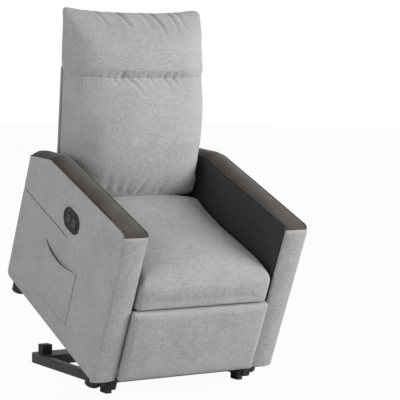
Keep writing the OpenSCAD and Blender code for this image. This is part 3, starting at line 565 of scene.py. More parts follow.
def makeSeat(s):
    middle = (s["front"] + s["rear"]) / 2
    half = (s["halfWidth"] - s["shrink"], (s["rear"] - s["front"]) / 2 - s["shrink"])
    ys, zs = np.array(s["edgeLine"]).T

    def shape(nominal):
        x, y, z = nominal.T
        u, v, y = x / half[0], y / half[1], y + middle
        t = (z - s["low"]) / (s["high"] - s["low"])
        top = np.interp(y, ys, zs) - s["shrink"]
        fall = np.where(v < 0, 1 - v ** 4, 1)
        z = s["low"] + t * (top - s["low"] + s["crown"] * (1 - np.abs(u) ** 3.4) * fall)
        return np.stack([x, y, z], 1)

    profile = softProfile(s["low"], s["high"], s["lowEdge"], s["topEdge"], half[0] - 0.004)
    seat = ringForm("seat_upholstery", profile, roundedBox(half, s["corners"]), shape, seatFrame, seatCloth)
    soften(seat, seatFrame, s)
    finishPiece(seat, ["seat_cushion"])
    print("seat made")


footPad = {
    "halfWidth": 0.2628, "low": 0.0040, "high": 0.2690, "front": -0.020, "rear": 0.0117, "corner": 0.004,
    "sideEdge": 0.009, "voxel": 0.0040, "pressure": 4, "cap": 0.007, "share": 0.45, "shrink": 0.0015,
    "limits": ((-0.2630, -0.027, 0.003), (0.2630, 0.0117, 0.2690)),
}


def makeFootrest(s):
    # built lying on its rear, then stood up
    middle, halfHeight = (s["low"] + s["high"]) / 2, (s["high"] - s["low"]) / 2
    half = (s["halfWidth"] - s["shrink"], halfHeight - s["shrink"])
    thick = s["rear"] - s["front"]
    profile = softProfile(0, thick, 0.003, s["sideEdge"], half[1] - 0.004, sideRows=4, capRows=18)

    def shape(nominal):
        x, y, z = nominal.T
        u, v = x / half[0], y / half[1]
        puff = 1 + 0.16 * (1 - u ** 4) * (1 - v ** 4)
        return np.stack([x, s["rear"] - z * puff, middle + y], 1)

    outline = roundedBox(half, (s["corner"], s["corner"]))
    pad = ringForm("footrest_upholstery", profile, outline, shape, seatFrame, seatCloth)
    soften(pad, seatFrame, s, passes=2)
    finishPiece(pad, ["footrest_pad"], "footrest")
    print("footrest made")


backPad = {
    "halfWidth": 0.258,
    "rearWidth": [(0.478, 0.258), (0.52, 0.263)],
    "frontWidth": [
        (0.058, 0.228), (0.207, 0.2325), (0.265, 0.2385), (0.323, 0.246), (0.38, 0.253), (0.60, 0.2535),
        (0.65, 0.262), (0.68, 0.272), (0.71, 0.279),
    ],
    "frontEdge": 0.42, "topEdgePlan": 0.22, "rearEdge": 0.10, "crown": 0.014, "low": 0.0587, "high": 0.7105,
    "seam": 0.478, "lowEdge": 0.020, "topEdge": 0.016,
    "frontLine": [
        (0.058, -0.070), (0.10, -0.089), (0.14, -0.102), (0.185, -0.111), (0.254, -0.119), (0.337, -0.107),
        (0.40, -0.092), (0.435, -0.083), (0.478, -0.076), (0.51, -0.074), (0.56, -0.066), (0.60, -0.053),
        (0.624, -0.043), (0.65, -0.024), (0.68, 0.006), (0.71, 0.032),
    ],
    "rearLine": [
        (0.058, 0.028), (0.118, 0.028), (0.135, 0.0775), (0.50, 0.0775), (0.52, 0.0835), (0.60, 0.0855),
        (0.65, 0.083), (0.71, 0.082),
    ],
    "dip": 0.017, "dipFrom": 0.60, "voxel": 0.0055, "pressure": 3.5, "cap": 0.018, "share": 0.36,
    "shrink": 0.005,
}


def makeBack(s):
    lines = {key: np.array(s[key]).T for key in ("frontLine", "rearLine", "frontWidth", "rearWidth")}

    def outline(inset):
        angles = np.linspace(0, 2 * np.pi, 168, endpoint=False)
        front, rear = roundSquare(angles, s["frontEdge"]), roundSquare(angles, s["rearEdge"])
        ring = np.where((angles > np.pi)[:, None], front, rear)
        return ring * (1 - inset / s["halfWidth"])

    def shape(nominal):
        u, w, v = nominal.T
        front, rear = np.interp(v, *lines["frontLine"]) + s["shrink"], np.interp(v, *lines["rearLine"])
        # the plan gets squarer towards the top
        blend = np.clip((v - 0.58) / 0.10, 0, 1)
        power = 2 / (s["frontEdge"] + (s["topEdgePlan"] - s["frontEdge"]) * blend)
        first = 2 / s["frontEdge"]
        a, b = np.maximum(np.abs(u), 1e-9), np.maximum(np.abs(w), 1e-9)
        square = (a ** first + b ** first) ** (1 / first) / (a ** power + b ** power) ** (1 / power)
        square = np.where(w < 0, square, 1)
        u, w = u * square, w * square
        near = (1 - w) / 2
        y = (rear + front) / 2 + w * (rear - front) / 2 + s["crown"] * (2 * u * u - 1) * near
        x = u * (np.interp(v, *lines["rearWidth"]) * (1 - near) + np.interp(v, *lines["frontWidth"]) * near)
        rise = np.clip((v - s["dipFrom"]) / (s["high"] - s["dipFrom"]), 0, 1)
        v = v - s["dip"] * (1 - np.abs(u) ** 3) * rise * rise * (3 - 2 * rise)
        return np.stack([x, y, v], 1)

    profile = softProfile(s["low"], s["high"], s["lowEdge"], s["topEdge"], s["halfWidth"] * 0.97, sideRows=90)

    def keepInside(local):
        between = local[:, 2] < 0.40
        local[:, 0] = np.where(between, np.clip(local[:, 0], -0.2628, 0.2628), local[:, 0])
        local[:, 1] = np.minimum(local[:, 1], np.interp(local[:, 2], *lines["rearLine"]))
        return local

    pad = ringForm("back_upholstery", profile, outline, shape, backFrame, backCloth)
    soften(pad, backFrame, s, keepInside)
    applied(pad)
    tuck(pad, s)
    folds(pad, backFrame, backCreases)
    finishPiece(pad, ["lumbar_cushion", "head_cushion"], "back")
    print("back made")


def tuck(piece, s):
    # the seam under the headrest, deepest right of the middle, with the headrest hanging over it
    start, outward = points(piece), normals(piece)
    x, y, v = place(start, backFrame.inverted()).T
    middle = 0.25 + 0.75 * np.clip((x + 0.17) / 0.07, 0, 1) * np.clip((0.19 - x) / 0.05, 0, 1)
    above = v - s["seam"]
    pinch = 0.010 * middle * bell(above, np.where(above > 0, 0.016, 0.030))
    shift = 0.008 * middle * bell(above - 0.032, 0.018) - 0.0032 * bell(above, 0.0035) - pinch
    setPoints(piece, start + outward * (shift * frontShare(piece, backFrame, 2, -0.3))[:, None])


# x and height of each crease's start and end, its width and its depth, all in millimetres, and its bow
backCreases = [
    (-166, 704, -139, 640, 6, 4.5, 0.10), (-82, 700, -50, 640, 7, 8.0, 0.12),
    (12, 696, 34, 634, 7, 3.6, 0.10), (55, 697, 76, 610, 7, 6.5, 0.12),
    (130, 700, 131, 626, 6, 5.0, 0.12), (165, 702, 174, 644, 6, 4.0, 0.08),
    (-158, 480, -160, 512, 8, 2.4, 0), (-104, 480, -100, 520, 8, 5.0, 0),
    (-69, 480, -66, 502, 7, 2.2, 0), (-8, 480, -5, 504, 8, 2.2, 0),
    (62, 480, 66, 512, 8, 2.4, 0), (100, 480, 105, 506, 7, 2.4, 0),
    (131, 480, 137, 500, 7, 2.0, 0), (-134, 474, -112, 438, 5, 2.6, 0),
    (-78, 474, -22, 416, 6, 5.0, 0.06), (-42, 474, 0, 434, 5, 3.0, 0.06),
    (10, 474, 34, 434, 5, 2.6, 0), (66, 474, 96, 434, 5, 3.2, 0),
    (102, 474, 131, 443, 5, 3.4, 0), (-74, 96, -52, 140, 10, 2.4, 0),
    (-24, 80, 12, 156, 8, 4.0, 0), (-146, 92, -143, 150, 10, 1.8, 0),
    (-106, 92, -102, 150, 10, 1.8, 0), (60, 76, 84, 140, 9, 3.0, 0),
]


makeSeat(seatPad)
makeFootrest(footPad)
makeBack(backPad)

# arms

armLow, armHigh = localBox("arm_right_front_cover", seatFrame)
padHigh = localBox("arm_right_pad", seatFrame)[1]
arm = {
    "inner": armLow[0],
    "outer": armHigh[0],
    "depth": padHigh[1] + 0.004,
    "height": padHigh[2],
    "bend": (padHigh[1] - 0.143, 0.533),
    "swell": [
        (0, 0), (0.05, 0.001), (0.15, 0.005), (0.3, 0.0105), (0.4, 0.0125), (0.51, 0.013), (0.61, 0.014),
        (0.68, 0.0165), (0.72, 0.014),
    ],
    "welt": 0.0022,
    "weltInset": {"outer": 0.0028, "inner": 0.0012},
    # shadeCord: how deep the black cord of painted shade sits in the fold, and its radius
    "shadeCord": (0.0034, 0.0019), "stitchInset": 0.0085, "rearHeight": 0.476, "frontRadius": 0.022,
    "rearRadius": 0.020, "bendRadius": 0.070, "frontSeam": 0.541, "sidePanel": 0.006, "edgeRadius": 0.0055,
    "frontDepth": 0.014, "frontCrown": 0.007, "frontBulge": 0.005, "padDepth": 0.012, "padCrown": 0.003,
}


def arc(centre, radius, start, end, steps):
    angles = np.radians(np.linspace(start, end, steps))
    return [(centre[0] + radius * math.cos(a), centre[1] + radius * math.sin(a)) for a in angles]


def filleted(before, corner, after, radius, steps=7):
    # a round corner between two straight lines
    p, a, b = np.array(corner), np.array(before) - corner, np.array(after) - corner
    a, b = a / np.linalg.norm(a), b / np.linalg.norm(b)
    half = math.acos(float(np.clip(a @ b, -1, 1))) / 2
    reach = radius / math.tan(half)
    first, last = p + a * reach, p + b * reach
    ts = np.linspace(0, 1, steps)
    return [tuple((1 - t) ** 2 * first + 2 * t * (1 - t) * p + t * t * last) for t in ts]


def armPath(a):
    # up the front, over the top, down the rear and back along the bottom, as (y, z)
    r, q = a["frontRadius"], a["rearRadius"]
    front = [(0, 0), (0, a["height"] - r)]
    corner = arc((r, a["height"] - r), r, 180, 90, 9)
    rearTop = (a["depth"], a["rearHeight"])
    bend = filleted(corner[-1], a["bend"], rearTop, a["bendRadius"])
    crown = filleted(a["bend"], rearTop, (a["depth"], 0), 0.012, 5)
    heel = arc((a["depth"] - q, q), q, 0, -90, 7)
    return np.array(front[:1] + corner + bend + crown + heel)


def pathNormal(path):
    # the way out of a path in (y, z)
    tangent = np.gradient(path, axis=0)
    tangent /= np.linalg.norm(tangent, axis=1, keepdims=True)
    return np.stack([-tangent[:, 1], tangent[:, 0]], 1)


def lengths(path):
    # distance along the path at each of its points
    return np.concatenate([[0], np.cumsum(np.linalg.norm(np.diff(path, axis=0), axis=1))])


def pointsAt(path, wanted, values=None):
    # the path's points, or other values along it, at given lengths
    at = lengths(path)
    return np.stack([np.interp(wanted, at, column) for column in (path if values is None else values).T], 1)


def resampled(path, spacing):
    total = lengths(path)[-1]
    return pointsAt(path, np.linspace(0, total, max(2, int(round(total / spacing)) + 1)))


def crownSection(x0, x1, depth, crown, radius, steps=22, innerRadius=None):
    # a padded strip's section as (x, height over the path), closed behind. innerRadius is for the corner at x0.
    eased = (1 - np.cos(np.pi * np.linspace(0, 1, steps))) / 2
    x = x0 + (x1 - x0) * eased
    radius = np.where(x - x0 < x1 - x, innerRadius or radius, radius)
    height = crown * (1 - (2 * eased - 1) ** 2) - roundOff(np.minimum(x - x0, x1 - x), radius)
    return np.array([(x0, -depth), *zip(x, height), (x1, -depth)])


def roundOff(distance, radius):
    # how far a round edge drops at a distance from it
    short = np.maximum(radius - distance, 0)
    return radius - np.sqrt(np.maximum(radius ** 2 - short ** 2, 0))


def sweptStrip(name, path, section, material, endRadius, mirror, swell=None):
    # a section carried along a path in (y, z), rounded off at both ends. swell adds a crown by y.
    normal = pathNormal(path)
    at = lengths(path)
    low = section[:, 1].min()
    across = (section[:, 0] - section[:, 0].min()) / np.ptp(section[:, 0])
    onTop = section[:, 1] > low + 1e-6
    rows = []
    for p, n, drop in zip(path, normal, roundOff(np.minimum(at, at[-1] - at), endRadius)):
        height = np.where(onTop, np.maximum(section[:, 1] - drop, low + 1e-4), section[:, 1])
        if swell:
            height = height + np.interp(p[0], *np.array(swell).T) * (1 - (2 * across - 1) ** 2) * onTop
        rows.append(np.stack([section[:, 0], p[0] + n[0] * height, p[1] + n[1] * height], 1))
    return capped(name, np.concatenate(rows), len(section), material, 50, mirror)


def bordered(at, close):
    # stations along a length, with close ones at both ends
    middle = at[(at > close[-1]) & (at < at[-1] - close[-1])]
    return np.unique(np.concatenate([close, middle, at[-1] - close]))


def endStations(path, spacing, endRadius):
    # even stations, with a few close ones where the strip's ends round off
    even = resampled(path, spacing)
    return pointsAt(even, bordered(lengths(even), endRadius * np.array([0, 0.08, 0.25, 0.5, 0.8, 1.2])))


def pathPart(path, first, last):
    # the stretch of a path between two lengths along it
    at = lengths(path)
    last = min(last, at[-1])
    return pointsAt(path, [first, *at[(at > first) & (at < last)], last])


def distanceTo(path, points2d):
    # distance from each point to a closed path
    best = np.full(len(points2d), 1e9)
    for a, b in zip(path, np.roll(path, -1, axis=0)):
        ab = b - a
        t = np.clip((points2d - a) @ ab / max(ab @ ab, 1e-12), 0, 1)
        best = np.minimum(best, np.linalg.norm(points2d - a - t[:, None] * ab, axis=1))
    return best


panelGrid = {
    "near": np.array([0, 0.1, 0.3, 0.6, 1.0, 1.5, 2.2]),
    "columns": 60, "rows": 20, "reach": 0.008, "levels": (0.026, 0.365, 0.009), "crown": 0.0012,
}


def sidePanel(name, a, x, direction, material, mirror, groove=None, lines=()):
    # a flat panel that fills the arm's outline, with soft edges. direction is 1 for the outer side, -1 for the inner.
    g = panelGrid
    frontLine = a["frontDepth"] - 0.002
    full = resampled(armPath(a), 0.002)
    rearStart = np.argmax(full[:, 0] >= a["depth"] - 1e-4)
    upper = full[np.argmax(full[:, 1] >= a["height"] - a["frontRadius"] - 1e-6): rearStart + 1]
    lower = full[::-1][: np.argmax(full[::-1][:, 0] >= a["depth"] - 1e-4) + 1]
    lower = np.concatenate([[(0, 0)], lower])
    us = bordered(np.linspace(0, 1, g["columns"]), 0.006 * g["near"])
    first, split, step = g["levels"]
    close = g["reach"] * g["near"]
    levels = np.unique(np.concatenate([close, np.arange(first, split, step), lines, [split]]))
    shares = bordered(np.linspace(0, 1, g["rows"]), g["reach"] / 0.17 * g["near"])[1:]
    low, high = [pointsAt(path, us * lengths(path)[-1]) for path in (lower, upper)]
    tops = np.maximum(high[:, 1], split + 0.02)
    vs = [level / tops for level in levels] + [(split + share * (tops - split)) / tops for share in shares]
    grid = np.array([(1 - v[:, None]) * low + v[:, None] * high for v in vs])
    flat = grid.reshape(-1, 2)
    flat[:, 0] = np.maximum(flat[:, 0], 0)
    # the panel starts behind the padded front
    flat[:, 0] = frontLine + flat[:, 0] * (a["depth"] - frontLine) / a["depth"]
    border = np.concatenate([grid[0], grid[1:, -1], grid[-1, ::-1], grid[::-1, 0]])
    d = distanceTo(border, flat)
    height = g["crown"] * np.clip(d / 0.06, 0, 1) - roundOff(d, a["edgeRadius"])
    if groove is not None:
        height += groove(flat)
    side = -1 if mirror else 1
    face = np.column_stack([side * (x + direction * height), flat])
    rear = np.column_stack([np.full(len(flat), side * (x - direction * a["sidePanel"])), flat])
    return closedSheet(name, face, rear, len(us), material)


slit = {"height": 0.3515, "front": 0.340, "width": 0.0022, "depth": 0.0055}


def slitGroove(flat):
    # a fold across the outer cover, which fades out at its front end
    y, z = flat.T
    fade = np.clip((y - slit["front"]) / 0.012, 0, 1)
    return -slit["depth"] * bell(z - slit["height"], slit["width"]) * fade


def cord(name, places, radius, material, mirror=False, sides=8):
    # a round cord through places, which tapers off at both ends
    places = np.asarray(places, float)
    if mirror:
        places = places * (-1, 1, 1)
    along = np.gradient(places, axis=0)
    along /= np.linalg.norm(along, axis=1, keepdims=True)
    side = np.cross(along, np.roll(along[:1], 1, axis=1) + (0.31, 0.17, 0.05))
    side /= np.linalg.norm(side, axis=1, keepdims=True)
    other = np.cross(along, side)
    angles = np.linspace(0, 2 * np.pi, sides, endpoint=False)[:, None]
    count = np.arange(len(places))
    radii = radius * np.clip(0.35 + np.minimum(count, count[::-1]) * 0.3, 0, 1)
    rows = [p + r * (np.cos(angles) * a + np.sin(angles) * b) for p, r, a, b in zip(places, radii, side, other)]
    return capped(name, np.concatenate(rows), sides, material)


def stitchTree(name):
    # threads laid on points, each turned along its seam and lying flat on the cloth
    group = bpy.data.node_groups.new(name, "GeometryNodeTree")
    nodes = Nodes(group)
    kinds = {"Geometry": "Geometry", "Length": "Float", "Width": "Float", "Spread": "Float", "Seed": "Int"}
    kinds["Material"] = "Material"
    for label, kind in kinds.items():
        group.interface.new_socket(name=label, in_out="INPUT", socket_type="NodeSocket" + kind)
    group.interface.new_socket(name="Geometry", in_out="OUTPUT", socket_type="NodeSocketGeometry")
    start = group.nodes.new("NodeGroupInput")
    given = {label: Wire(nodes, start.outputs[label]) for label in kinds}

    def attribute(label):
        return nodes.node("GeometryNodeInputNamedAttribute", {"data_type": "FLOAT_VECTOR"}, {"Name": label})

    def align(settings, **sockets):
        return nodes.node("FunctionNodeAlignRotationToVector", settings, sockets)

    thread = nodes.node("GeometryNodeMeshUVSphere", {}, {"Segments": 8, "Rings": 6, "Radius": 0.5})
    flat = align({"axis": "Z"}, Vector=attribute("outward"))
    turned = align({"axis": "X", "pivot_axis": "Z"}, Rotation=flat, Vector=attribute("along"))
    size = nodes.node("ShaderNodeCombineXYZ", {}, [given["Length"], given["Width"], given["Width"]])
    shares = {2: 1 - given["Spread"], 3: 1.0, "Seed": given["Seed"]}
    share = nodes.node("FunctionNodeRandomValue", {"data_type": "FLOAT"}, shares, output=1)
    scale = nodes.node("ShaderNodeVectorMath", {"operation": "SCALE"}, {0: size, "Scale": share})
    placing = {"Points": given["Geometry"], "Instance": thread, "Rotation": turned, "Scale": scale}
    copies = nodes.node("GeometryNodeInstanceOnPoints", {}, placing)
    real = nodes.node("GeometryNodeRealizeInstances", {}, [copies])
    coated = nodes.node("GeometryNodeSetMaterial", {}, {"Geometry": real, "Material": given["Material"]})
    nodes.feed(group.nodes.new("NodeGroupOutput"), [coated])
    return group


def stitches(name, seams, s):
    # one piece with all the stitches of some seams, each seam given as places and outward directions
    places, along, outward = [], [], []
    for line, out in seams:
        wanted = np.arange(s["pitch"] / 2, lengths(line)[-1], s["pitch"])
        spots, away = pointsAt(line, wanted), pointsAt(line, wanted, out)
        ahead = pointsAt(line, wanted + 0.001) - spots
        places.append(spots + away * s["lift"])
        along.append(ahead / np.maximum(np.linalg.norm(ahead, axis=1, keepdims=True), 1e-9))
        outward.append(away)
    mesh = bpy.data.meshes.new(name)
    mesh.from_pydata([tuple(p) for p in place(np.concatenate(places), seatFrame)], [], [])
    for label, values in (("along", along), ("outward", outward)):
        storeVectors(mesh, label, np.concatenate(values) @ np.array(seatFrame)[:3, :3].T)
    piece = linked(name, mesh)
    change = piece.modifiers.new("stitches", "NODES")
    change.node_group = seamThread
    values = {"Length": s["length"], "Width": s["width"], "Spread": s["spread"], "Seed": s["seed"]}
    values["Material"] = padThread
    for socket in seamThread.interface.items_tree:
        if socket.item_type == "SOCKET" and socket.in_out == "INPUT" and socket.name in values:
            change[socket.identifier] = values[socket.name]
    applied(piece)
    piece.data.shade_smooth()
    finishPiece(piece)


def padSeam(a, path, across, sectionTop, mirror):
    # a line along the pad's top at a given x, with its outward directions
    normal = pathNormal(path)
    share = (across - a["inner"]) / (a["outer"] - a["inner"])
    lift = sectionTop + np.interp(path[:, 0], *np.array(a["swell"]).T) * (1 - (2 * share - 1) ** 2)
    line = np.column_stack([np.full(len(path), across), path + normal * lift[:, None]])
    outward = np.column_stack([np.zeros(len(path)), normal])
    return (line * (-1, 1, 1), outward * (-1, 1, 1)) if mirror else (line, outward)


threadSizes = {"pitch": 0.0048, "length": 0.0036, "width": 0.0009, "lift": 0.0002, "spread": 0.12, "seed": 3}
seamThread = stitchTree("seamThread")

bezelLow, bezelHigh = localBox("control_bezel", seatFrame)
control = {
    "middle": tuple((bezelLow + bezelHigh)[1:] / 2),
    "size": tuple((bezelHigh - bezelLow)[1:]),
    "face": -arm["outer"],
    "floor": 0.0024, "button": 0.016, "clear": 0.0007, "hollow": 0.0054,
    "rim": [
        (0.0015, -0.003), (0, -0.001), (0, 0.0022), (0.0007, 0.0037), (0.0022, 0.0046), (0.0038, 0.0044),
        (0.0050, 0.0034), (0.0056, 0.0020), (0.0060, -0.003),
    ],
    "collar": [
        (0.0, -0.003), (0.0, 0.0030), (0.0006, 0.0039), (0.0018, 0.0043), (0.0030, 0.0039), (0.0036, 0.0030),
        (0.0036, -0.003),
    ],
    "cap": [
        (0.016, -0.0010), (0.016, 0.0032), (0.0154, 0.0044), (0.0140, 0.0050), (0.0122, 0.0048), (0.0106, 0.0040),
        (0.0080, 0.0034), (0.004, 0.0031),
    ],
}


def panelGroove(flat):
    # the fold, and the hollow that the control panel sits over
    y, z = flat.T
    width, height = control["size"]
    across = np.maximum(np.abs(y - control["middle"][0]) - (width - height) / 2, 0)
    away = np.hypot(across, z - control["middle"][1])
    return slitGroove(flat) - control["hollow"] * np.clip((height / 2 - 0.003 - away) / 0.008, 0, 1)


def makeArm(a, side):
    mirror = side == "left"
    spread = resampled(armPath(a), 0.001)
    frontEnd = a["frontSeam"]
    rearStart = lengths(spread)[np.argmax(spread[:, 0] > a["depth"] - 0.0005)]
    bottomStart = lengths(spread)[-1] - 0.010

    def strip(label, first, last, spacing, ends, section, material, endRadius, swell=None):
        path = endStations(pathPart(spread, first, last), spacing, ends)
        return sweptStrip(f"arm_{side}_{label}", path, section, material, endRadius, mirror, swell)

    wide = a["outer"] + a["frontBulge"]
    section = crownSection(a["inner"], wide, a["frontDepth"], a["frontCrown"], 0.010, 28, 0.004)
    piece = strip("front_padding", 0, frontEnd, 0.012, 0.008, section, seatCloth, 0.008)
    smoother(piece)
    finishPiece(piece, [f"arm_{side}_front_cover"])

    section = crownSection(a["inner"] + 0.0005, a["outer"] - 0.003, a["padDepth"], a["padCrown"], 0.004)
    piece = strip("top_padding", frontEnd, rearStart, 0.008, 0.004, section, padCloth, 0.003, a["swell"])
    smoother(piece)
    finishPiece(piece, [f"arm_{side}_pad"])

    along = endStations(pathPart(spread, frontEnd + 0.002, rearStart - 0.002), 0.008, 0.004)
    for label, inwards, material in (("outer", -1, padThread), ("inner", 1, padCloth)):
        line = padSeam(a, along, a[label] + inwards * a["weltInset"][label], -0.0008, mirror)[0]
        finishPiece(cord(f"arm_{side}_{label}_welt", line, a["welt"], material))
    places = (a["outer"] - a["stitchInset"], a["inner"] + a["stitchInset"])
    seams = [padSeam(a, along[3:-3], across, a["padCrown"] * 0.34, mirror) for across in places]
    stitches(f"arm_{side}_pad_stitches", seams, threadSizes)

    section = crownSection(a["inner"] + 0.001, a["outer"] - 0.003, 0.006, 0.001, 0.004)
    piece = strip("rear_cover", rearStart, bottomStart, 0.012, 0.004, section, seatCloth, 0.003)
    finishPiece(piece)

    lines = slit["height"] + slit["width"] * np.array([-3, -2, -1.4, -1, -0.6, -0.3, 0, 0.3, 0.6, 1, 1.4, 2, 3])
    groove = panelGroove if side == "left" else slitGroove
    piece = sidePanel(f"arm_{side}_side_panel", a, a["outer"], 1, seatCloth, mirror, groove, lines)
    finishPiece(piece, [f"arm_{side}_outer_cover"])
    ys = np.linspace(slit["front"] + 0.006, a["depth"] - 0.006, 30)
    # a black cord sunk in the fold of the outer cover: painted shade, a dark line standing in for the shade inside
    # the fold
    sunk, radius = a["shadeCord"]
    shadeCord = [(a["outer"] - sunk, y, slit["height"]) for y in ys]
    finishPiece(cord(f"arm_{side}_seam_shade_cord", shadeCord, radius, liningCloth, mirror))
    piece = sidePanel(f"arm_{side}_inner_panel", a, a["inner"], -1, darkCloth, mirror)
    finishPiece(piece, [f"arm_{side}_inner_cover"])
    print("arm made", side)


makeArm(arm, "left")
makeArm(arm, "right")

# pocket, controls and panels


def joined(name, pieces):
    # several pieces of one material as one
    whole = bmesh.new()
    for piece in pieces:
        whole.from_mesh(piece.data)
    keep = pieces[0]
    whole.to_mesh(keep.data)
    whole.free()
    keep.name = keep.data.name = name
    for piece in pieces[1:]:
        bpy.data.objects.remove(piece)
    return keep


def cutPlate(name, loops, thick, edge, toLocal, material):
    # a flat plate, whose first loop is its outline and whose others are its holes
    curve = bpy.data.curves.new(name, "CURVE")
    curve.dimensions, curve.fill_mode = "2D", "BOTH"
    curve.extrude, curve.bevel_depth, curve.bevel_resolution = thick / 2 - edge, edge, 2
    curve.offset = -edge
    for loop in loops:
        spline = curve.splines.new("POLY")
        spline.points.add(len(loop) - 1)
        for point, (u, v) in zip(spline.points, loop):
            point.co = (u, v, 0, 1)
        spline.use_cyclic_u = True
    holder = linked(name, curve)
    mesh = bpy.data.meshes.new_from_object(holder.evaluated_get(bpy.context.evaluated_depsgraph_get()))
    bpy.data.objects.remove(holder)
    corners = np.array([v.co for v in mesh.vertices])
    faces = [tuple(p.vertices) for p in mesh.polygons]
    bpy.data.meshes.remove(mesh)
    bpy.data.curves.remove(curve)
    return addMesh(name, toLocal(*corners.T), faces, material, 30)


def circle(centre, radius, count=40):
    angles = np.linspace(0, 2 * np.pi, count, endpoint=False)
    return np.column_stack([centre[0] + radius * np.cos(angles), centre[1] + radius * np.sin(angles)])


def stadium(middle, size, inset, steps=18):
    radius = size[1] / 2 - inset
    reach = (size[0] - size[1]) / 2
    right = arc((middle[0] + reach, middle[1]), radius, -90, 90, steps)
    left = arc((middle[0] - reach, middle[1]), radius, 90, 270, steps)
    return np.array(right + left)


def ringsOut(outline, profile, face):
    # rings at each (size, height) of a profile, in the plane of (y, z), out from the arm's outer face
    rings = [(np.array(outline(size)), face - height) for size, height in profile]
    return np.concatenate([np.column_stack([np.full(len(ring), x), ring]) for ring, x in rings])


def band(name, outline, profile, s):
    # a closed band through rings, whose last ring meets its first
    local = ringsOut(outline, profile, s["face"])
    count, last = len(local) // len(profile), len(local) - len(local) // len(profile)
    faces = gridFaces(len(profile), count, True)
    faces += [(last + c, last + (c + 1) % count, (c + 1) % count, c) for c in range(count)]
    return addMesh(name, local, faces, panelPlastic, 40)


def makeControls(s):
    centres = {node: localMiddle(node)[1:] for node in ("button_up", "button_down")}
    hole = s["button"] + s["clear"]
    rim = band("rim", lambda inset: stadium(s["middle"], s["size"], inset), s["rim"], s)
    loops = [stadium(s["middle"], s["size"], 0.0058), *[circle(c, hole) for c in centres.values()]]
    floorX = s["face"] - s["floor"] + 0.001
    plate = cutPlate("plate", loops, 0.002, 0.0002, lambda u, v, t: np.column_stack([floorX - t, u, v]), panelPlastic)
    collars = [band("collar", lambda out: circle(c, hole + out), s["collar"], s) for c in centres.values()]
    finishPiece(joined("control_panel", [rim, plate, *collars]), ["control_bezel"])
    for node, c in centres.items():
        local = ringsOut(lambda radius: circle(c, radius), s["cap"], s["face"])
        cap = capped(node + "_cap", local, len(local) // len(s["cap"]), finishes["button_plastic"], 40)
        finishPiece(cap, [node], body=node)
    print("controls made")


makeControls(control)

pocketLow, pocketHigh = localBox("side_pocket", seatFrame)
pocket = {
    "low": tuple(pocketLow[1:]),
    "high": tuple(pocketHigh[1:]),
    "sag": 0.020, "out": 0.0105, "thick": 0.0022, "hem": 0.011, "fullness": 1.02,
    "near": 0.006 * np.array([0, 0.2, 0.5, 1.0, 1.6, 2.4]),
    "bindingShade": 0.0009,
}


def makePocket(s):
    # a pouch that stands open at its mouth, with a turned hem
    (y0, z0), (y1, z1) = s["low"], s["high"]
    us = bordered(np.linspace(0, 1, 44), s["near"])
    hem = 1 - s["hem"] / (z1 - z0)
    hemRows = hem + np.array([-3, -1.5, -0.6, 0, 0.6, 1.5, 3]) * 0.004
    ts = np.unique(np.concatenate([bordered(np.linspace(0, 1, 34), s["near"]), hemRows]))
    u, t = np.array([(u, t) for t in ts for u in us]).T
    mouth = z1 - 4 * s["sag"] * u * (1 - u)
    z = z0 + t * (mouth - z0)
    y = y0 + u * (y1 - y0)
    belly = np.sin(np.pi * u) ** 0.7 * np.sin(np.pi * np.clip(t, 0, 1) * 0.62) ** 0.9
    edge = np.minimum(np.minimum(u, 1 - u) * (y1 - y0), t * (z1 - z0))
    out = s["thick"] * (1 - np.exp(-edge / 0.0012)) + s["out"] * belly
    out += 0.0009 * (np.clip((t - hem) / 0.02, 0, 1) - bell(t - hem, 0.007))
    out += 0.0008 * np.sin(u * 19 + t * 6) * belly * t
    face = -arm["outer"] - 0.0013
    outer = np.column_stack([face - out, y, z])
    inner = np.column_stack([face - np.maximum(out - s["thick"], 0) + 0.0002, y, z])
    piece = closedSheet("side_pocket_cloth", outer, inner, len(us), seatCloth)
    finishPiece(piece, ["side_pocket"])
    flat = ((y1 - y0) * s["fullness"], (z1 - z0) * s["fullness"])
    # a grey cord round the pocket's sides and bottom: partly a real binding, partly painted shade, darker than the
    # linen to show the shade of the seam gap
    corners = filleted((y1, z1), (y1, z0), (y0, z0), 0.006) + filleted((y1, z0), (y0, z0), (y0, z1), 0.006)
    line = resampled(np.array([(y1, z1 - 0.002), *corners, (y0, z1 - 0.002)]), 0.006)
    line = np.column_stack([np.full(len(line), face - 0.0004), line])
    finishPiece(cord("side_pocket_binding_shade", line, s["bindingShade"], greyShadeThread))
    print("pocket made")


makePocket(pocket)

rearPanel = {"thick": 0.007, "out": 0.001, "edge": 0.005, "crown": 0.003}
valance = {"edge": 0.0022, "clear": 0.0004}
straps = {"count": 5, "width": 0.050, "thick": 0.0022, "edge": 0.0009, "sag": 0.004}


def makeRearPanel(s):
    # the upholstered panel behind the back
    low, high = localBox("back_rear_cover", backFrame)
    half, middle, front = (high - low) / 2, (low + high) / 2, high[1] + s["out"] - s["thick"]

    def shape(nominal):
        x, z, t = nominal.T
        crown = s["crown"] * (1 - (x / half[0]) ** 4) * (1 - (z / half[2]) ** 4) * (t / s["thick"])
        return np.column_stack([middle[0] + x, front + t + crown, middle[2] + z])

    reach = min(half[0], half[2]) - 0.002
    profile = softProfile(0, s["thick"], s["edge"] * 0.9, s["edge"], reach, sideRows=4, capRows=16)
    outline = roundedBox(half[[0, 2]], (s["edge"] * 2, s["edge"] * 2), (24, 24, 5))
    panel = ringForm("back_rear_upholstery", profile, outline, shape, backFrame, backCloth)
    panel.data.set_sharp_from_angle(angle=math.radians(50))
    finishPiece(panel, ["back_rear_cover"], "back")


def rectangle(low, high, clear=0.0):
    (x0, _, z0), (x1, _, z1) = low - clear, high + clear
    return [(x0, z0), (x1, z0), (x1, z1), (x0, z1)]


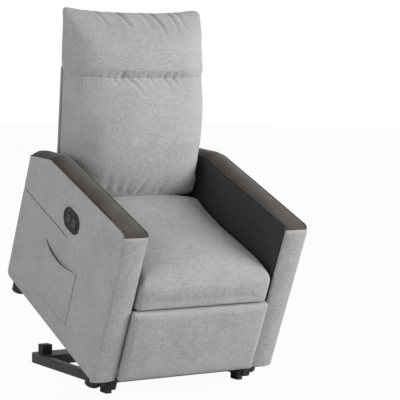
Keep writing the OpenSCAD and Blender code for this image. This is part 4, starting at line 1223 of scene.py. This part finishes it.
def makeValance(s):
    # the cloth panel across the rear, with a window for the power inlet
    low, high = localBox("rear_valance", seatFrame)
    loops = [rectangle(low, high), rectangle(*localBox("power_inlet", seatFrame), s["clear"])]
    y = (low[1] + high[1]) / 2

    def toLocal(u, v, t):
        return np.column_stack([u, y + t, v])

    cover = cutPlate("rear_valance_cloth", loops, high[1] - low[1], s["edge"], toLocal, liningCloth)
    finishPiece(cover, ["rear_valance"])
    print("panels made")


def makeStraps(s):
    # the webbing under the seat cushion, sagging a little between its rails
    low, high = localBox("seat_webbing", seatFrame)
    pitch = (high[0] - low[0] - s["width"]) / (s["count"] - 1)
    ys = np.linspace(low[1], high[1], 40)
    share = (ys - low[1]) / (high[1] - low[1])
    drop = s["sag"] * np.clip(share * 9, 0, 1) * np.clip((1 - share) * 9, 0, 1)
    half, thick, e = s["width"] / 2, s["thick"], s["edge"]
    tops = high[2] - (high[2] - low[2] - thick) / 2 - drop
    upper = [(-half, -e), (-half + e, 0), (half - e, 0), (half, -e)]
    section = upper + [(u, -thick - v) for u, v in reversed(upper)]
    made = []
    for i in range(s["count"]):
        x = low[0] + half + i * pitch
        local = np.array([(x + u, y, top + v) for y, top in zip(ys, tops) for u, v in section])
        made.append(capped("strap", local, len(section), strapFinish, 50))
    piece = finishPiece(joined("seat_straps", made), ["seat_webbing"])
    high[0] - low[0]
    print("straps made")


makeRearPanel(rearPanel)
makeValance(valance)
makeStraps(straps)

# floor and light

studio = {"floorSize": 30.0, "world": 0.44, "floorWhite": 0.96, "floorGrey": 0.55}


def makeStudio(s):
    white = (1, 1, 1, 1)
    finish = newFinish("paleFloor")
    seen = finish.node("ShaderNodeLightPath", output="Is Camera Ray")
    diffuse = finish.node("ShaderNodeBsdfDiffuse", {}, {"Color": (*grey(s["floorGrey"]), 1)})
    glow = finish.node("ShaderNodeEmission", {}, {"Color": white, "Strength": 1.0})
    both = finish.node("ShaderNodeMixShader", {}, [seen * s["floorWhite"], diffuse, glow])
    finish.feed(finish.tree.nodes["Material Output"], {"Surface": both})
    ring = [(x, y, 0) for x, y in circle((0, 0), s["floorSize"], 48)]
    mesh = bpy.data.meshes.new("floor")
    mesh.from_pydata(ring, [], [tuple(range(len(ring)))])
    mesh.materials.append(finish.owner)
    floor = linked("floor", mesh)
    floor.location.z = -0.0005

    scene.world = bpy.data.worlds.new("studio")
    world = Finish(scene.world)
    seen, through = [world.node("ShaderNodeLightPath", output=f"Is {ray} Ray") for ray in ("Camera", "Transmission")]
    dim, plain = [
        world.node("ShaderNodeBackground", {}, {"Color": white, "Strength": strength}) for strength in (s["world"], 1)
    ]
    both = world.node("ShaderNodeMixShader", {}, [seen.math("MAXIMUM", through), dim, plain])
    world.feed(world.tree.nodes["World Output"], {"Surface": both})


lamps = [
    {"name": "key", "place": (3.8, -3.2, 1.95), "size": 3.0, "power": 300},
    {"name": "fill", "place": (-4.6, -1.2, 1.6), "size": 3.0, "power": 88},
]


def makeLamp(lamp):
    data = bpy.data.lights.new(lamp["name"], "AREA")
    data.size, data.energy = lamp["size"], lamp["power"]
    made = linked(lamp["name"], data)
    made.location = lamp["place"]
    aim = Vector((0, 0, 0.5)) - made.location
    made.rotation_euler = aim.to_track_quat("-Z", "Y").to_euler()


makeStudio(studio)
for lamp in lamps:
    makeLamp(lamp)
